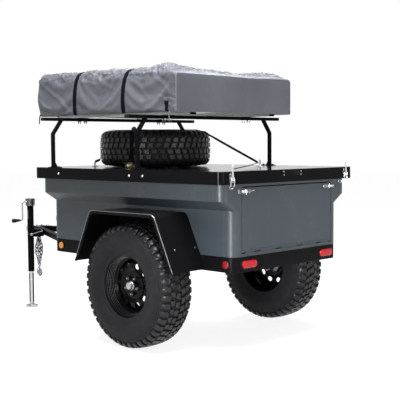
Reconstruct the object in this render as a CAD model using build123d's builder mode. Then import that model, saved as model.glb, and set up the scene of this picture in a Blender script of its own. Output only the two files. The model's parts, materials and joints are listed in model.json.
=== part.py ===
from build123d import *
import os

os.makedirs("parts", exist_ok=True)

# Camper trailer, millimetres. +X runs forward to the towing eye, +Y is the left side,
# +Z is up. The ground is Z = 0 and the X origin is the middle of the whole length.

# ---------------------------------------------------------------- driving sizes
AX = -730.0            # X of the wheel axle

# wheels
AXLE_Z = 420.0
TYRE_R = 420.0
WHEEL_Y = 705.0        # middle plane of the tyre
SPINDLE_R = 20.0
STUB_R = 30.0

# torsion axle: a square tube under the frame, with an arm at each end that trails back to the wheel
TORSION_X = AX + 150.0
TORSION_H = 60.0
TORSION_WALL = 6.0
ARM_Y0 = 512.0
ARM_T = 30.0
ARM_PIVOT_R = 27.0
ARM_EYE_R = 42.0

# tub
TUB_REAR = AX - 734.0
TUB_FRONT = AX + 1128.0
TUB_Y = 552.0          # lower half width
FLARE_Y = 654.0        # half width of the flared upper band
TUB_Z0 = 646.0
FLARE_Z0 = 940.0
FLARE_Z1 = 1002.0
TUB_Z1 = 1165.0
WALL = 6.0
END_L = 84.0           # length of the end pieces that carry the rounded corners
TUB_R = 62.0           # corner radius seen from above
FLOOR_T = 4.0

# tailgate
GATE_Y = 470.0
GATE_Z0 = 672.0
GATE_Z1 = 1086.0
GATE_T = 30.0
GATE_SKIN = 4.0
GATE_GAP = 6.0
GATE_PIN_X = TUB_REAR - 7.0
GATE_PIN_Z = GATE_Z0 - 8.0
GATE_PIN_R = 3.0
KNUCKLE_R = 6.5

# perimeter frame under the tub
FRAME_Z0 = 546.0
FRAME_W = 50.0
END_DEPTH = 84.0       # depth of the rear bumper and the front member
FRAME_T = 5.0
BUMPER_R = 62.0

# tongue
TONGUE_Z0 = 586.0
TONGUE_H = 58.0
RAIL_Z0 = 600.0        # the two rails are slimmer than the nose
RAIL_H = 42.0
TONGUE_W = 50.0
TONGUE_ROOT_Y = 438.0
NOSE_X0 = AX + 1985.0
NOSE_X1 = AX + 2105.0
EYE_X = AX + 2170.0
EYE_R = 62.0
EYE_BORE_R = 38.1
EYE_H = 40.0
EYE_Z = 595.0

# jack
JACK_X = AX + 1768.0
JACK_Y = 310.0
JACK_R = 26.5
JACK_BORE = 22.5
JACK_Z0 = 300.0
JACK_Z1 = 850.0
JACK_TOP = 908.0
LEG_R = 20.0
LEG_TOP = 600.0
FOOT_R = 50.0

# lid
LID_REAR = AX - 762.0
LID_FRONT = AX + 1152.0
LID_Y = 704.0
LID_Z0 = 1110.0
LID_Z1 = 1192.0
LID_T = 4.0
LID_LIP = 12.0
LID_R = 45.0
LID_PIN_X = AX + 1143.0
LID_PIN_Z = LID_Z0 - 12.0

# rack
LEG_TUBE = 25.0
BAR_Y = 782.0
BAR_Z0 = 1536.0
BAR_H = 24.0
BAR_W = 42.0

# roof tent
TENT_X0 = AX - 276.0
TENT_X1 = AX + 1224.0
TENT_Y = 600.0
RAIL_Z1 = 1577.0
BASE_Z1 = 1602.0
BASE_INSET = 10.0      # the fabric hangs down over the edge of the base
COVER_Z1 = 1884.0

# spare wheel
SPARE_X = AX + 562.0
SPARE_Z = LID_Z1 + 138.0

# fenders
FENDER_Y = 852.0
FENDER_TOP = 916.0
FENDER_Z0 = 554.0
FENDER_TOP_HALF = 317.0
FENDER_FOOT_HALF = 488.0
FENDER_T = 5.0
FENDER_LIP = 22.0
FENDER_BEND = 55.0     # outer radius of the two bends

SIDES = [("left", 1), ("right", -1)]

# half profiles, as (across, radius) from the middle plane of the wheel
TYRE_OUT = [(0, 420), (92, 415), (120, 396), (134, 340), (136, 312), (124, 250), (105, 228), (105, 205)]
TYRE_IN = [(84, 205), (96, 240), (112, 310), (108, 352), (88, 378), (0, 384)]
RIM_TOP = [(-112, 219), (-105, 219), (-105, 205), (-66, 205), (-50, 184), (20, 184), (36, 205), (105, 205), (105, 219), (112, 219)]
RIM_BOT = [(112, 210), (104, 197), (40, 197), (24, 176), (-54, 176), (-70, 197), (-104, 197), (-112, 210)]
DISC = [(6, 181), (20, 181), (42, 150), (46, 118), (34, 92), (34, 32), (22, 32), (22, 96), (34, 118), (30, 144)]
HUB = [(-60, 20.05), (-60, 50), (-10, 50), (4, 74), (22, 74), (22, 31.5), (62, 31.5), (66, 27), (80, 24), (80, 0), (42, 0), (42, 20.05)]
WINDOWS = 10
WINDOW_L = 46.0
WINDOW_W = 34.0
WINDOW_PITCH_R = 135.0

# ---------------------------------------------------------------- wheels
TYRE_LOOP = TYRE_OUT + TYRE_IN + [(-a, r) for a, r in reversed(TYRE_IN[:-1])] + [(-a, r) for a, r in reversed(TYRE_OUT[1:])]

for side, s in SIDES:
    axis = Axis((AX, 0, AXLE_Z), (0, 1, 0))
    cut_plane = Plane.YZ.offset(AX)

    with BuildPart() as tyre:
        with BuildSketch(cut_plane):
            with BuildLine():
                Polyline(*[(s * (WHEEL_Y + a), AXLE_Z + r) for a, r in TYRE_LOOP], close=True)
            make_face()
        revolve(axis=axis)
    tyre.part.label = side + "_tyre"
    export_step(tyre.part, "parts/" + side + "_tyre.step")

    with BuildPart() as rim:
        with BuildSketch(cut_plane):
            with BuildLine():
                Polyline(*[(s * (WHEEL_Y + a), AXLE_Z + r) for a, r in RIM_TOP + RIM_BOT], close=True)
            make_face()
        revolve(axis=axis)
        with BuildSketch(cut_plane):
            with BuildLine():
                Polyline(*[(s * (WHEEL_Y + a), AXLE_Z + r) for a, r in DISC], close=True)
            make_face()
        revolve(axis=axis)
        with BuildSketch(Plane.XZ.offset(-(s * WHEEL_Y + 60))):
            with Locations((AX, AXLE_Z)):
                with PolarLocations(WINDOW_PITCH_R, WINDOWS):
                    SlotOverall(WINDOW_L, WINDOW_W, rotation=90)
        extrude(amount=120, mode=Mode.SUBTRACT)
    rim.part.label = side + "_rim"
    export_step(rim.part, "parts/" + side + "_rim.step")

    with BuildPart() as hub:
        with BuildSketch(cut_plane):
            with BuildLine():
                Polyline(*[(s * (WHEEL_Y + a), AXLE_Z + r) for a, r in HUB], close=True)
            make_face()
        revolve(axis=axis)
    hub.part.label = side + "_hub"
    export_step(hub.part, "parts/" + side + "_hub.step")

# ---------------------------------------------------------------- running gear
FRAME_FOOT = FRAME_Z0 - TORSION_H / 2   # height of the torsion tube's middle
with BuildPart() as axle_tube:
    with BuildSketch(Plane.XZ.offset(-ARM_Y0)):
        with Locations((TORSION_X, FRAME_FOOT)):
            RectangleRounded(TORSION_H, TORSION_H, 8)
            RectangleRounded(TORSION_H - 2 * TORSION_WALL, TORSION_H - 2 * TORSION_WALL, 4, mode=Mode.SUBTRACT)
    extrude(amount=2 * ARM_Y0)
axle_tube.part.label = "axle_tube"
export_step(axle_tube.part, "parts/axle_tube.step")

STUB_LOOP = [(ARM_Y0 + ARM_T, 0), (ARM_Y0 + ARM_T, STUB_R), (636, STUB_R), (636, SPINDLE_R), (735, SPINDLE_R), (735, 0)]
with BuildPart() as trailing_arms:
    for side, s in SIDES:
        with BuildSketch(Plane.XZ.offset(-max(s * ARM_Y0, s * (ARM_Y0 + ARM_T)))):
            with Locations((TORSION_X, FRAME_FOOT)):
                Circle(ARM_PIVOT_R)
            with Locations((AX, AXLE_Z)):
                Circle(ARM_EYE_R)
            make_hull()
        extrude(amount=ARM_T)
        with BuildSketch(Plane.YZ.offset(AX)):
            with BuildLine():
                Polyline(*[(s * y, AXLE_Z + r) for y, r in STUB_LOOP], close=True)
            make_face()
        revolve(axis=Axis((AX, 0, AXLE_Z), (0, 1, 0)))
trailing_arms.part.label = "trailing_arms"
export_step(trailing_arms.part, "parts/trailing_arms.step")

# ---------------------------------------------------------------- frame
for side, s in SIDES:
    with BuildPart() as rail:
        with BuildSketch(Plane.YZ.offset(TUB_REAR + END_DEPTH)):
            with BuildLine():
                Polyline(
                    (s * TUB_Y, FRAME_Z0), (s * TUB_Y, TUB_Z0), (s * (TUB_Y - FRAME_W), TUB_Z0),
                    (s * (TUB_Y - FRAME_W), TUB_Z0 - FRAME_T), (s * (TUB_Y - FRAME_T), TUB_Z0 - FRAME_T),
                    (s * (TUB_Y - FRAME_T), FRAME_Z0 + FRAME_T), (s * (TUB_Y - FRAME_W), FRAME_Z0 + FRAME_T),
                    (s * (TUB_Y - FRAME_W), FRAME_Z0), close=True)
            make_face()
        extrude(amount=TUB_FRONT - TUB_REAR - 2 * END_DEPTH)
    rail.part.label = side + "_frame_rail"
    export_step(rail.part, "parts/" + side + "_frame_rail.step")

TUB_MID = (TUB_FRONT + TUB_REAR) / 2
TUB_LEN = TUB_FRONT - TUB_REAR
END_MEMBERS = [("rear_bumper", TUB_REAR, -1), ("front_member", TUB_FRONT - END_DEPTH, 1)]
for label, x0, faces in END_MEMBERS:
    with BuildPart() as member:
        with BuildSketch(Plane.XY.offset(FRAME_Z0)):
            with Locations((TUB_MID, 0)):
                RectangleRounded(TUB_LEN, 2 * TUB_Y, BUMPER_R)
        extrude(amount=TUB_Z0 - FRAME_Z0)
        with BuildSketch(Plane.XY.offset(FRAME_Z0 + FRAME_T)):
            with Locations((TUB_MID, 0)):
                RectangleRounded(TUB_LEN - 2 * FRAME_T, 2 * (TUB_Y - FRAME_T), BUMPER_R - FRAME_T)
        extrude(amount=TUB_Z0 - FRAME_Z0 - 2 * FRAME_T, mode=Mode.SUBTRACT)
        with Locations((x0 + END_DEPTH / 2, 0, (FRAME_Z0 + TUB_Z0) / 2)):
            Box(END_DEPTH, 2 * TUB_Y, TUB_Z0 - FRAME_Z0, mode=Mode.INTERSECT)
        with Locations((x0 + END_DEPTH / 2 - faces * 40, 0, (FRAME_Z0 + TUB_Z0) / 2)):
            Box(END_DEPTH, 2 * (TUB_Y - FRAME_W), TUB_Z0 - FRAME_Z0, mode=Mode.SUBTRACT)
    member.part.label = label
    export_step(member.part, "parts/" + label + ".step")

CROSS_X = [-420.0, 260.0, 760.0]
with BuildPart() as crossmembers:
    for along in CROSS_X:
        with BuildSketch(Plane.XZ.offset(-(TUB_Y - FRAME_W))):
            with BuildLine():
                Polyline(
                    (AX + along - 20, TUB_Z0), (AX + along + 20, TUB_Z0), (AX + along + 20, TUB_Z0 - 60),
                    (AX + along + 15, TUB_Z0 - 60), (AX + along + 15, TUB_Z0 - 5), (AX + along - 15, TUB_Z0 - 5),
                    (AX + along - 15, TUB_Z0 - 60), (AX + along - 20, TUB_Z0 - 60), close=True)
            make_face()
        extrude(amount=2 * (TUB_Y - FRAME_W))
crossmembers.part.label = "crossmembers"
export_step(crossmembers.part, "parts/crossmembers.step")

# ---------------------------------------------------------------- tongue
NOSE_Y0 = 84.0
NOSE_Y1 = 42.0
for side, s in SIDES:
    with BuildPart() as tongue_rail:
        with BuildSketch(Plane.XY.offset(RAIL_Z0)):
            with BuildLine():
                Polyline(
                    (TUB_FRONT, s * (TONGUE_ROOT_Y + TONGUE_W)), (NOSE_X0, s * NOSE_Y0),
                    (NOSE_X0, s * (NOSE_Y0 - 56)), (TUB_FRONT, s * (TONGUE_ROOT_Y - 8)), close=True)
            make_face()
        extrude(amount=RAIL_H)
    tongue_rail.part.label = side + "_tongue_rail"
    export_step(tongue_rail.part, "parts/" + side + "_tongue_rail.step")

with BuildPart() as tongue_nose:
    with BuildSketch(Plane.XY.offset(TONGUE_Z0)):
        with BuildLine():
            Polyline((NOSE_X0, NOSE_Y0), (NOSE_X1, NOSE_Y1), (NOSE_X1, -NOSE_Y1), (NOSE_X0, -NOSE_Y0), close=True)
        make_face()
    extrude(amount=TONGUE_H)
tongue_nose.part.label = "tongue_nose"
export_step(tongue_nose.part, "parts/tongue_nose.step")

with BuildPart() as towing_eye:
    with BuildSketch(Plane.XY.offset(EYE_Z)):
        with Locations((EYE_X, 0)):
            Circle(EYE_R)
        with Locations(((NOSE_X1 + EYE_X) / 2, 0)):
            Rectangle(EYE_X - NOSE_X1, 62)
        with Locations((EYE_X, 0)):
            Circle(EYE_BORE_R, mode=Mode.SUBTRACT)
    extrude(amount=EYE_H)
towing_eye.part.label = "towing_eye"
export_step(towing_eye.part, "parts/towing_eye.step")

# the two safety chains hang from one plate under the nose, spread, and are hooked into each other below
CHAIN_X = AX + 2000.0
CHAIN_LOOP = [(46, TONGUE_Z0), (74, TONGUE_Z0), (74, 525), (110, 445), (82, 325), (82, 200), (38, 200), (38, 325), (10, 445), (46, 525)]
with BuildPart() as safety_chains:
    with BuildSketch(Plane.YZ.offset(CHAIN_X - 9)):
        with BuildLine():
            Polyline(*CHAIN_LOOP, close=True)
        make_face()
    extrude(amount=18)
safety_chains.part.label = "safety_chains"
export_step(safety_chains.part, "parts/safety_chains.step")

# ---------------------------------------------------------------- jack
with BuildPart() as jack_housing:
    with BuildSketch(Plane.XY.offset(JACK_Z0)):
        with Locations((JACK_X, JACK_Y)):
            Circle(JACK_R)
            Circle(JACK_BORE, mode=Mode.SUBTRACT)
    extrude(amount=JACK_Z1 - JACK_Z0)
    with BuildSketch(Plane.XY.offset(JACK_Z1)):
        with Locations((JACK_X, JACK_Y)):
            Circle(33)
    with BuildSketch(Plane.XY.offset(JACK_TOP)):
        with Locations((JACK_X, JACK_Y)):
            Circle(41)
    loft()
    with BuildSketch(Plane.XY.offset(RAIL_Z0 - 10)):
        with BuildLine():
            Polyline(
                (JACK_X - 45, JACK_Y - 24), (JACK_X + 45, JACK_Y - 24),
                (JACK_X + 45, TONGUE_ROOT_Y + TONGUE_W - (TONGUE_ROOT_Y + TONGUE_W - NOSE_Y0) * (JACK_X + 45 - TUB_FRONT) / (NOSE_X0 - TUB_FRONT)),
                (JACK_X - 45, TONGUE_ROOT_Y + TONGUE_W - (TONGUE_ROOT_Y + TONGUE_W - NOSE_Y0) * (JACK_X - 45 - TUB_FRONT) / (NOSE_X0 - TUB_FRONT)),
                close=True)
        make_face()
    extrude(amount=RAIL_H + 20)
    with Locations((JACK_X, JACK_Y, (JACK_Z0 + JACK_Z1) / 2)):
        Cylinder(JACK_BORE, JACK_Z1 - JACK_Z0, mode=Mode.SUBTRACT)
jack_housing.part.label = "jack_housing"
export_step(jack_housing.part, "parts/jack_housing.step")

CRANK_Z = 886.0
CRANK_ARM_Y = JACK_Y + 80.0
CRANK_LOW = 735.0
with BuildPart() as jack_crank:
    with BuildLine() as crank_line:
        FilletPolyline(
            (JACK_X, JACK_Y + 39, CRANK_Z), (JACK_X, CRANK_ARM_Y, CRANK_Z),
            (JACK_X, CRANK_ARM_Y, CRANK_LOW), (JACK_X, CRANK_ARM_Y + 22, CRANK_LOW), radius=17)
    with BuildSketch(Plane.XZ.offset(-(JACK_Y + 39))):
        with Locations((JACK_X, CRANK_Z)):
            Circle(7)
    sweep(path=crank_line.wire())
    with BuildSketch(Plane.XZ.offset(-CRANK_ARM_Y - 22)):
        with Locations((JACK_X, CRANK_LOW)):
            Circle(9)
    with BuildSketch(Plane.XZ.offset(-CRANK_ARM_Y - 98)):
        with Locations((JACK_X, CRANK_LOW)):
            Circle(17)
    loft()
jack_crank.part.label = "jack_crank"
export_step(jack_crank.part, "parts/jack_crank.step")

with BuildPart() as jack_leg:
    with BuildSketch(Plane.XY.offset(8)):
        with Locations((JACK_X, JACK_Y)):
            Circle(LEG_R)
            Circle(LEG_R - 5, mode=Mode.SUBTRACT)
    extrude(amount=LEG_TOP - 8)
    with Locations((JACK_X, JACK_Y, 4)):
        Cylinder(FOOT_R, 8)
jack_leg.part.label = "jack_leg"
export_step(jack_leg.part, "parts/jack_leg.step")

# ---------------------------------------------------------------- tub
# pieces of the tub wall, cut from one shell: name, first X, last X, first Y, last Y
TUB_PIECES = [
    ("rear_frame", TUB_REAR, TUB_REAR + END_L, -FLARE_Y, FLARE_Y),
    ("front_wall", TUB_FRONT - END_L, TUB_FRONT, -FLARE_Y, FLARE_Y),
    ("left_side_panel", TUB_REAR + END_L, TUB_FRONT - END_L, 0, FLARE_Y),
    ("right_side_panel", TUB_REAR + END_L, TUB_FRONT - END_L, -FLARE_Y, 0),
]
for label, x0, x1, y0, y1 in TUB_PIECES:
    with BuildPart() as piece:
        for inset, mode in ((0.0, Mode.ADD), (WALL, Mode.SUBTRACT)):
            length = TUB_LEN - 2 * inset
            radius = TUB_R - inset
            for z0, z1, half0, half1 in (
                (TUB_Z0, FLARE_Z0, TUB_Y, TUB_Y),
                (FLARE_Z0, FLARE_Z1, TUB_Y, FLARE_Y),
                (FLARE_Z1, TUB_Z1, FLARE_Y, FLARE_Y),
            ):
                for z, half in ((z0, half0), (z1, half1)):
                    with BuildSketch(Plane.XY.offset(z)):
                        with Locations((TUB_MID, 0)):
                            RectangleRounded(length, 2 * (half - inset), radius)
                loft(ruled=True, mode=mode)
        with BuildSketch(Plane.XY.offset(TUB_Z1 - 6)):
            with Locations((TUB_MID, 0)):
                RectangleRounded(TUB_LEN - 2 * WALL, 2 * (FLARE_Y - WALL), TUB_R - WALL)
                RectangleRounded(TUB_LEN - 2 * WALL - 60, 2 * (FLARE_Y - WALL) - 60, TUB_R - WALL, mode=Mode.SUBTRACT)
        extrude(amount=6)
        with Locations((TUB_REAR, 0, (GATE_Z0 + GATE_Z1) / 2)):
            Box(60, 2 * (GATE_Y + GATE_GAP), GATE_Z1 - GATE_Z0 + 2 * GATE_GAP, mode=Mode.SUBTRACT)
        with Locations(((x0 + x1) / 2, (y0 + y1) / 2, (TUB_Z0 + TUB_Z1) / 2)):
            Box(x1 - x0, y1 - y0, TUB_Z1 - TUB_Z0, mode=Mode.INTERSECT)
    piece.part.label = label
    export_step(piece.part, "parts/" + label + ".step")

with BuildPart() as tub_floor:
    with BuildSketch(Plane.XY.offset(TUB_Z0)):
        with Locations((TUB_MID, 0)):
            RectangleRounded(TUB_LEN - 2 * WALL, 2 * (TUB_Y - WALL), TUB_R - WALL)
    extrude(amount=FLOOR_T)
tub_floor.part.label = "tub_floor"
export_step(tub_floor.part, "parts/tub_floor.step")

# ---------------------------------------------------------------- tailgate
with BuildPart() as tailgate:
    with Locations((TUB_REAR + GATE_T / 2, 0, (GATE_Z0 + GATE_Z1) / 2)):
        Box(GATE_T, 2 * GATE_Y, GATE_Z1 - GATE_Z0)
    with Locations((TUB_REAR + GATE_SKIN + GATE_T / 2, 0, (GATE_Z0 + GATE_Z1) / 2)):
        Box(GATE_T, 2 * (GATE_Y - 26), GATE_Z1 - GATE_Z0 - 52, mode=Mode.SUBTRACT)
tailgate.part.label = "tailgate"
export_step(tailgate.part, "parts/tailgate.step")

# one long hinge along the foot of the tailgate: knuckles of the sill and of the gate take turns
SILL_KNUCKLES = [-330.0, -110.0, 110.0, 330.0]   # middle Y, each 60 wide
GATE_KNUCKLES = [(-440.0, -362.0), (-298.0, -142.0), (-78.0, 78.0), (142.0, 298.0), (362.0, 440.0)]
with BuildPart() as tailgate_knuckles:
    for y in SILL_KNUCKLES:
        with BuildSketch(Plane.XZ.offset(-(y + 30))):
            with Locations((GATE_PIN_X, GATE_PIN_Z)):
                Circle(KNUCKLE_R)
            with Locations((TUB_REAR - 1.5, GATE_PIN_Z - 8)):
                Rectangle(3, 16)
            with Locations((GATE_PIN_X, GATE_PIN_Z)):
                Circle(GATE_PIN_R + 0.05, mode=Mode.SUBTRACT)
        extrude(amount=60)
tailgate_knuckles.part.label = "tailgate_knuckles"
export_step(tailgate_knuckles.part, "parts/tailgate_knuckles.step")

with BuildPart() as tailgate_pins:
    with BuildSketch(Plane.XZ.offset(-440)):
        with Locations((GATE_PIN_X, GATE_PIN_Z)):
            Circle(GATE_PIN_R)
    extrude(amount=880)
    for y0, y1 in GATE_KNUCKLES:
        with BuildSketch(Plane.XZ.offset(-y1)):
            with Locations((GATE_PIN_X, GATE_PIN_Z)):
                Circle(KNUCKLE_R)
            with Locations((TUB_REAR - 1.5, GATE_PIN_Z + 12)):
                Rectangle(3, 24)
        extrude(amount=y1 - y0)
tailgate_pins.part.label = "tailgate_pins"
export_step(tailgate_pins.part, "parts/tailgate_pins.step")

GATE_LATCH = [(430.0, 1062.0), (-430.0, 1062.0)]
with BuildPart() as tailgate_latches:
    for y, z in GATE_LATCH:
        with Locations((TUB_REAR - 7, y, z)):
            Box(14, 76, 28)
tailgate_latches.part.label = "tailgate_latches"
export_step(tailgate_latches.part, "parts/tailgate_latches.step")

# ---------------------------------------------------------------- lid
LID_LEN = LID_FRONT - LID_REAR
LID_MID = (LID_FRONT + LID_REAR) / 2
with BuildPart() as lid:
    with BuildSketch(Plane.XY.offset(LID_Z0)):
        with Locations((LID_MID, 0)):
            RectangleRounded(LID_LEN, 2 * LID_Y, LID_R)
    extrude(amount=LID_Z1 - LID_Z0)
    with BuildSketch(Plane.XY.offset(LID_Z0 + LID_T)):
        with Locations((LID_MID, 0)):
            RectangleRounded(LID_LEN - 2 * LID_T, 2 * (LID_Y - LID_T), LID_R - LID_T)
    extrude(amount=LID_Z1 - LID_Z0 - 2 * LID_T, mode=Mode.SUBTRACT)
    with BuildSketch(Plane.XY.offset(LID_Z0)):
        with Locations((LID_MID, 0)):
            RectangleRounded(LID_LEN - 2 * LID_LIP, 2 * (LID_Y - LID_LIP), LID_R - LID_LIP)
    extrude(amount=LID_T, mode=Mode.SUBTRACT)
lid.part.label = "lid"
export_step(lid.part, "parts/lid.step")

LID_HINGE_Y = [-380.0, 380.0]
with BuildPart() as lid_hinge_brackets:
    for y in LID_HINGE_Y:
        with BuildSketch(Plane.XZ.offset(-(y + 30))):
            with Locations((LID_PIN_X, LID_PIN_Z)):
                Circle(10)
            with Locations(((LID_PIN_X + TUB_FRONT) / 2, LID_PIN_Z - 4)):
                Rectangle(LID_PIN_X - TUB_FRONT, 10)
            with Locations((TUB_FRONT + 3, LID_PIN_Z - 35)):
                Rectangle(6, 72)
            with Locations((LID_PIN_X, LID_PIN_Z)):
                Circle(5.05, mode=Mode.SUBTRACT)
        extrude(amount=60)
lid_hinge_brackets.part.label = "lid_hinge_brackets"
export_step(lid_hinge_brackets.part, "parts/lid_hinge_brackets.step")

with BuildPart() as lid_hinge_pins:
    for y in LID_HINGE_Y:
        with BuildSketch(Plane.XZ.offset(-(y + 70))):
            with Locations((LID_PIN_X, LID_PIN_Z)):
                Circle(5)
        extrude(amount=140)
        for y1 in (y + 70, y - 33):
            with BuildSketch(Plane.XZ.offset(-y1)):
                with Locations((LID_PIN_X, LID_PIN_Z)):
                    Circle(10)
                with Locations((LID_PIN_X, (LID_PIN_Z + LID_Z0) / 2)):
                    Rectangle(10, LID_Z0 - LID_PIN_Z)
            extrude(amount=37)
lid_hinge_pins.part.label = "lid_hinge_pins"
export_step(lid_hinge_pins.part, "parts/lid_hinge_pins.step")

LID_LATCH_Y = [-602.0, 602.0]
with BuildPart() as lid_latch_hooks:
    for y in LID_LATCH_Y:
        with Locations((LID_REAR - 5, y, 1152)):
            Box(10, 34, 68)
        with Locations((LID_REAR - 6, y, 1206)):
            Box(8, 16, 64)
lid_latch_hooks.part.label = "lid_latch_hooks"
export_step(lid_latch_hooks.part, "parts/lid_latch_hooks.step")

LID_KEEPER_Y = [-578.0, 578.0]
GATE_KEEPER_Y = [-496.0, 496.0]
with BuildPart() as latch_keepers:
    for y in LID_KEEPER_Y:
        with Locations((TUB_REAR - 6, y, 1090)):
            Box(12, 24, 26)
    for y in GATE_KEEPER_Y:
        with Locations((TUB_REAR - 6, y, 1062)):
            Box(12, 26, 28)
latch_keepers.part.label = "latch_keepers"
export_step(latch_keepers.part, "parts/latch_keepers.step")

# ---------------------------------------------------------------- rack
HOOP_X = [AX + 930.0, AX + 4.0]
RACK_LOOP = [(678, LID_Z1), (703, LID_Z1), (703, 1444), (633, BAR_Z0), (601.6, BAR_Z0), (678, 1435.6)]
with BuildPart() as rack_legs:
    for x in HOOP_X:
        for side, s in SIDES:
            with BuildSketch(Plane.YZ.offset(x - LEG_TUBE / 2)):
                with BuildLine():
                    Polyline(*[(s * y, z) for y, z in RACK_LOOP], close=True)
                make_face()
            extrude(amount=LEG_TUBE)
rack_legs.part.label = "rack_legs"
export_step(rack_legs.part, "parts/rack_legs.step")

with BuildPart() as rack_bars:
    for x in HOOP_X:
        with Locations((x, 0, BAR_Z0 + BAR_H / 2)):
            Box(BAR_W, 2 * BAR_Y, BAR_H)
rack_bars.part.label = "rack_bars"
export_step(rack_bars.part, "parts/rack_bars.step")

# ---------------------------------------------------------------- roof tent
TENT_RAIL_Y = [-412.0, 412.0]
TENT_BAYS = [(-499.0, 122.0), (0.0, 772.0), (499.0, 122.0)]  # hollow bays under the base: middle Y, width
with BuildPart() as tent_rails:
    for y in TENT_RAIL_Y:
        with Locations(((TENT_X0 + TENT_X1) / 2, y, (BAR_Z0 + BAR_H + RAIL_Z1) / 2)):
            Box(TENT_X1 - TENT_X0 - 60, 44, RAIL_Z1 - BAR_Z0 - BAR_H)
tent_rails.part.label = "tent_rails"
export_step(tent_rails.part, "parts/tent_rails.step")

with BuildPart() as tent_base:
    with BuildSketch(Plane.XY.offset(RAIL_Z1)):
        with Locations(((TENT_X0 + TENT_X1) / 2, 0)):
            RectangleRounded(TENT_X1 - TENT_X0 - 2 * BASE_INSET, 2 * (TENT_Y - BASE_INSET), 12)
    extrude(amount=BASE_Z1 - RAIL_Z1)
    for y, width in TENT_BAYS:
        with Locations(((TENT_X0 + TENT_X1) / 2, y, RAIL_Z1 + 9)):
            Box(TENT_X1 - TENT_X0 - 80, width, 18, mode=Mode.SUBTRACT)
tent_base.part.label = "tent_base"
export_step(tent_base.part, "parts/tent_base.step")

with BuildPart() as tent_cover:
    with BuildSketch(Plane.XY.offset(BASE_Z1)):
        with Locations(((TENT_X0 + TENT_X1) / 2, 0)):
            RectangleRounded(TENT_X1 - TENT_X0, 2 * TENT_Y, 40)
    extrude(amount=COVER_Z1 - BASE_Z1)
    fillet(tent_cover.faces().sort_by(Axis.Z)[-1].edges(), 34)
tent_cover.part.label = "tent_cover"
export_step(tent_cover.part, "parts/tent_cover.step")

# ---------------------------------------------------------------- spare wheel
spare_axis = Axis((SPARE_X, 0, 0), (0, 0, 1))
with BuildPart() as spare_tyre:
    with BuildSketch(Plane.XZ):
        with BuildLine():
            Polyline(*[(SPARE_X + r, SPARE_Z + a) for a, r in TYRE_LOOP], close=True)
        make_face()
    revolve(axis=spare_axis)
spare_tyre.part.label = "spare_tyre"
export_step(spare_tyre.part, "parts/spare_tyre.step")

with BuildPart() as spare_rim:
    with BuildSketch(Plane.XZ):
        with BuildLine():
            Polyline(*[(SPARE_X + r, SPARE_Z + a) for a, r in RIM_TOP + RIM_BOT], close=True)
        make_face()
    revolve(axis=spare_axis)
    with BuildSketch(Plane.XZ):
        with BuildLine():
            Polyline(*[(SPARE_X + r, SPARE_Z + a) for a, r in DISC], close=True)
        make_face()
    revolve(axis=spare_axis)
    with BuildSketch(Plane.XY.offset(SPARE_Z - 60)):
        with Locations((SPARE_X, 0)):
            with PolarLocations(WINDOW_PITCH_R, WINDOWS):
                SlotOverall(WINDOW_L, WINDOW_W, rotation=90)
    extrude(amount=120, mode=Mode.SUBTRACT)
spare_rim.part.label = "spare_rim"
export_step(spare_rim.part, "parts/spare_rim.step")

with BuildPart() as spare_post:
    with BuildSketch(Plane.XY.offset(LID_Z1)):
        with Locations((SPARE_X, 0)):
            Circle(70)
    extrude(amount=10)
    with BuildSketch(Plane.XY.offset(LID_Z1 + 10)):
        with Locations((SPARE_X, 0)):
            Circle(24)
    extrude(amount=SPARE_Z + 60 - LID_Z1 - 10)
    with BuildSketch(Plane.XY.offset(SPARE_Z + 34)):
        with Locations((SPARE_X, 0)):
            Circle(48)
    extrude(amount=12)
spare_post.part.label = "spare_post"
export_step(spare_post.part, "parts/spare_post.step")

# ---------------------------------------------------------------- fenders
def fender_loop(inset):
    """Outline of the fender, moved inward by inset, closed along its feet."""
    run = FENDER_FOOT_HALF - FENDER_TOP_HALF
    rise = FENDER_TOP - FENDER_Z0
    slope = (run ** 2 + rise ** 2) ** 0.5
    foot = FENDER_FOOT_HALF - inset * slope / rise
    top = FENDER_TOP_HALF - inset * (slope - run) / rise
    return [(AX - foot, FENDER_Z0), (AX - top, FENDER_TOP - inset), (AX + top, FENDER_TOP - inset), (AX + foot, FENDER_Z0)]


for side, s in SIDES:
    y_out = s * FENDER_Y
    with BuildPart() as fender:
        with BuildSketch(Plane.XZ.offset(-max(s * TUB_Y, y_out))):
            with BuildLine():
                edge = FilletPolyline(*fender_loop(0), radius=FENDER_BEND)
                Line(edge @ 1, edge @ 0)
            make_face()
            with BuildLine():
                edge = FilletPolyline(*fender_loop(FENDER_T), radius=FENDER_BEND - FENDER_T)
                Line(edge @ 1, edge @ 0)
            make_face(mode=Mode.SUBTRACT)
        extrude(amount=FENDER_Y - TUB_Y)
        with BuildSketch(Plane.XZ.offset(-(y_out if s > 0 else y_out + FENDER_T))):
            with BuildLine():
                edge = FilletPolyline(*fender_loop(0), radius=FENDER_BEND)
                Line(edge @ 1, edge @ 0)
            make_face()
            with BuildLine():
                edge = FilletPolyline(*fender_loop(FENDER_LIP), radius=FENDER_BEND - FENDER_LIP)
                Line(edge @ 1, edge @ 0)
            make_face(mode=Mode.SUBTRACT)
        extrude(amount=FENDER_T)
    fender.part.label = side + "_fender"
    export_step(fender.part, "parts/" + side + "_fender.step")

# ---------------------------------------------------------------- lights
TAIL_LIGHT_Y = [408.0, -408.0]
with BuildPart() as tail_lights:
    for y in TAIL_LIGHT_Y:
        with BuildSketch(Plane.YZ.offset(TUB_REAR - 14)):
            with Locations((y, 596)):
                RectangleRounded(148, 56, 27)
        extrude(amount=14)
tail_lights.part.label = "tail_lights"
export_step(tail_lights.part, "parts/tail_lights.step")

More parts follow.
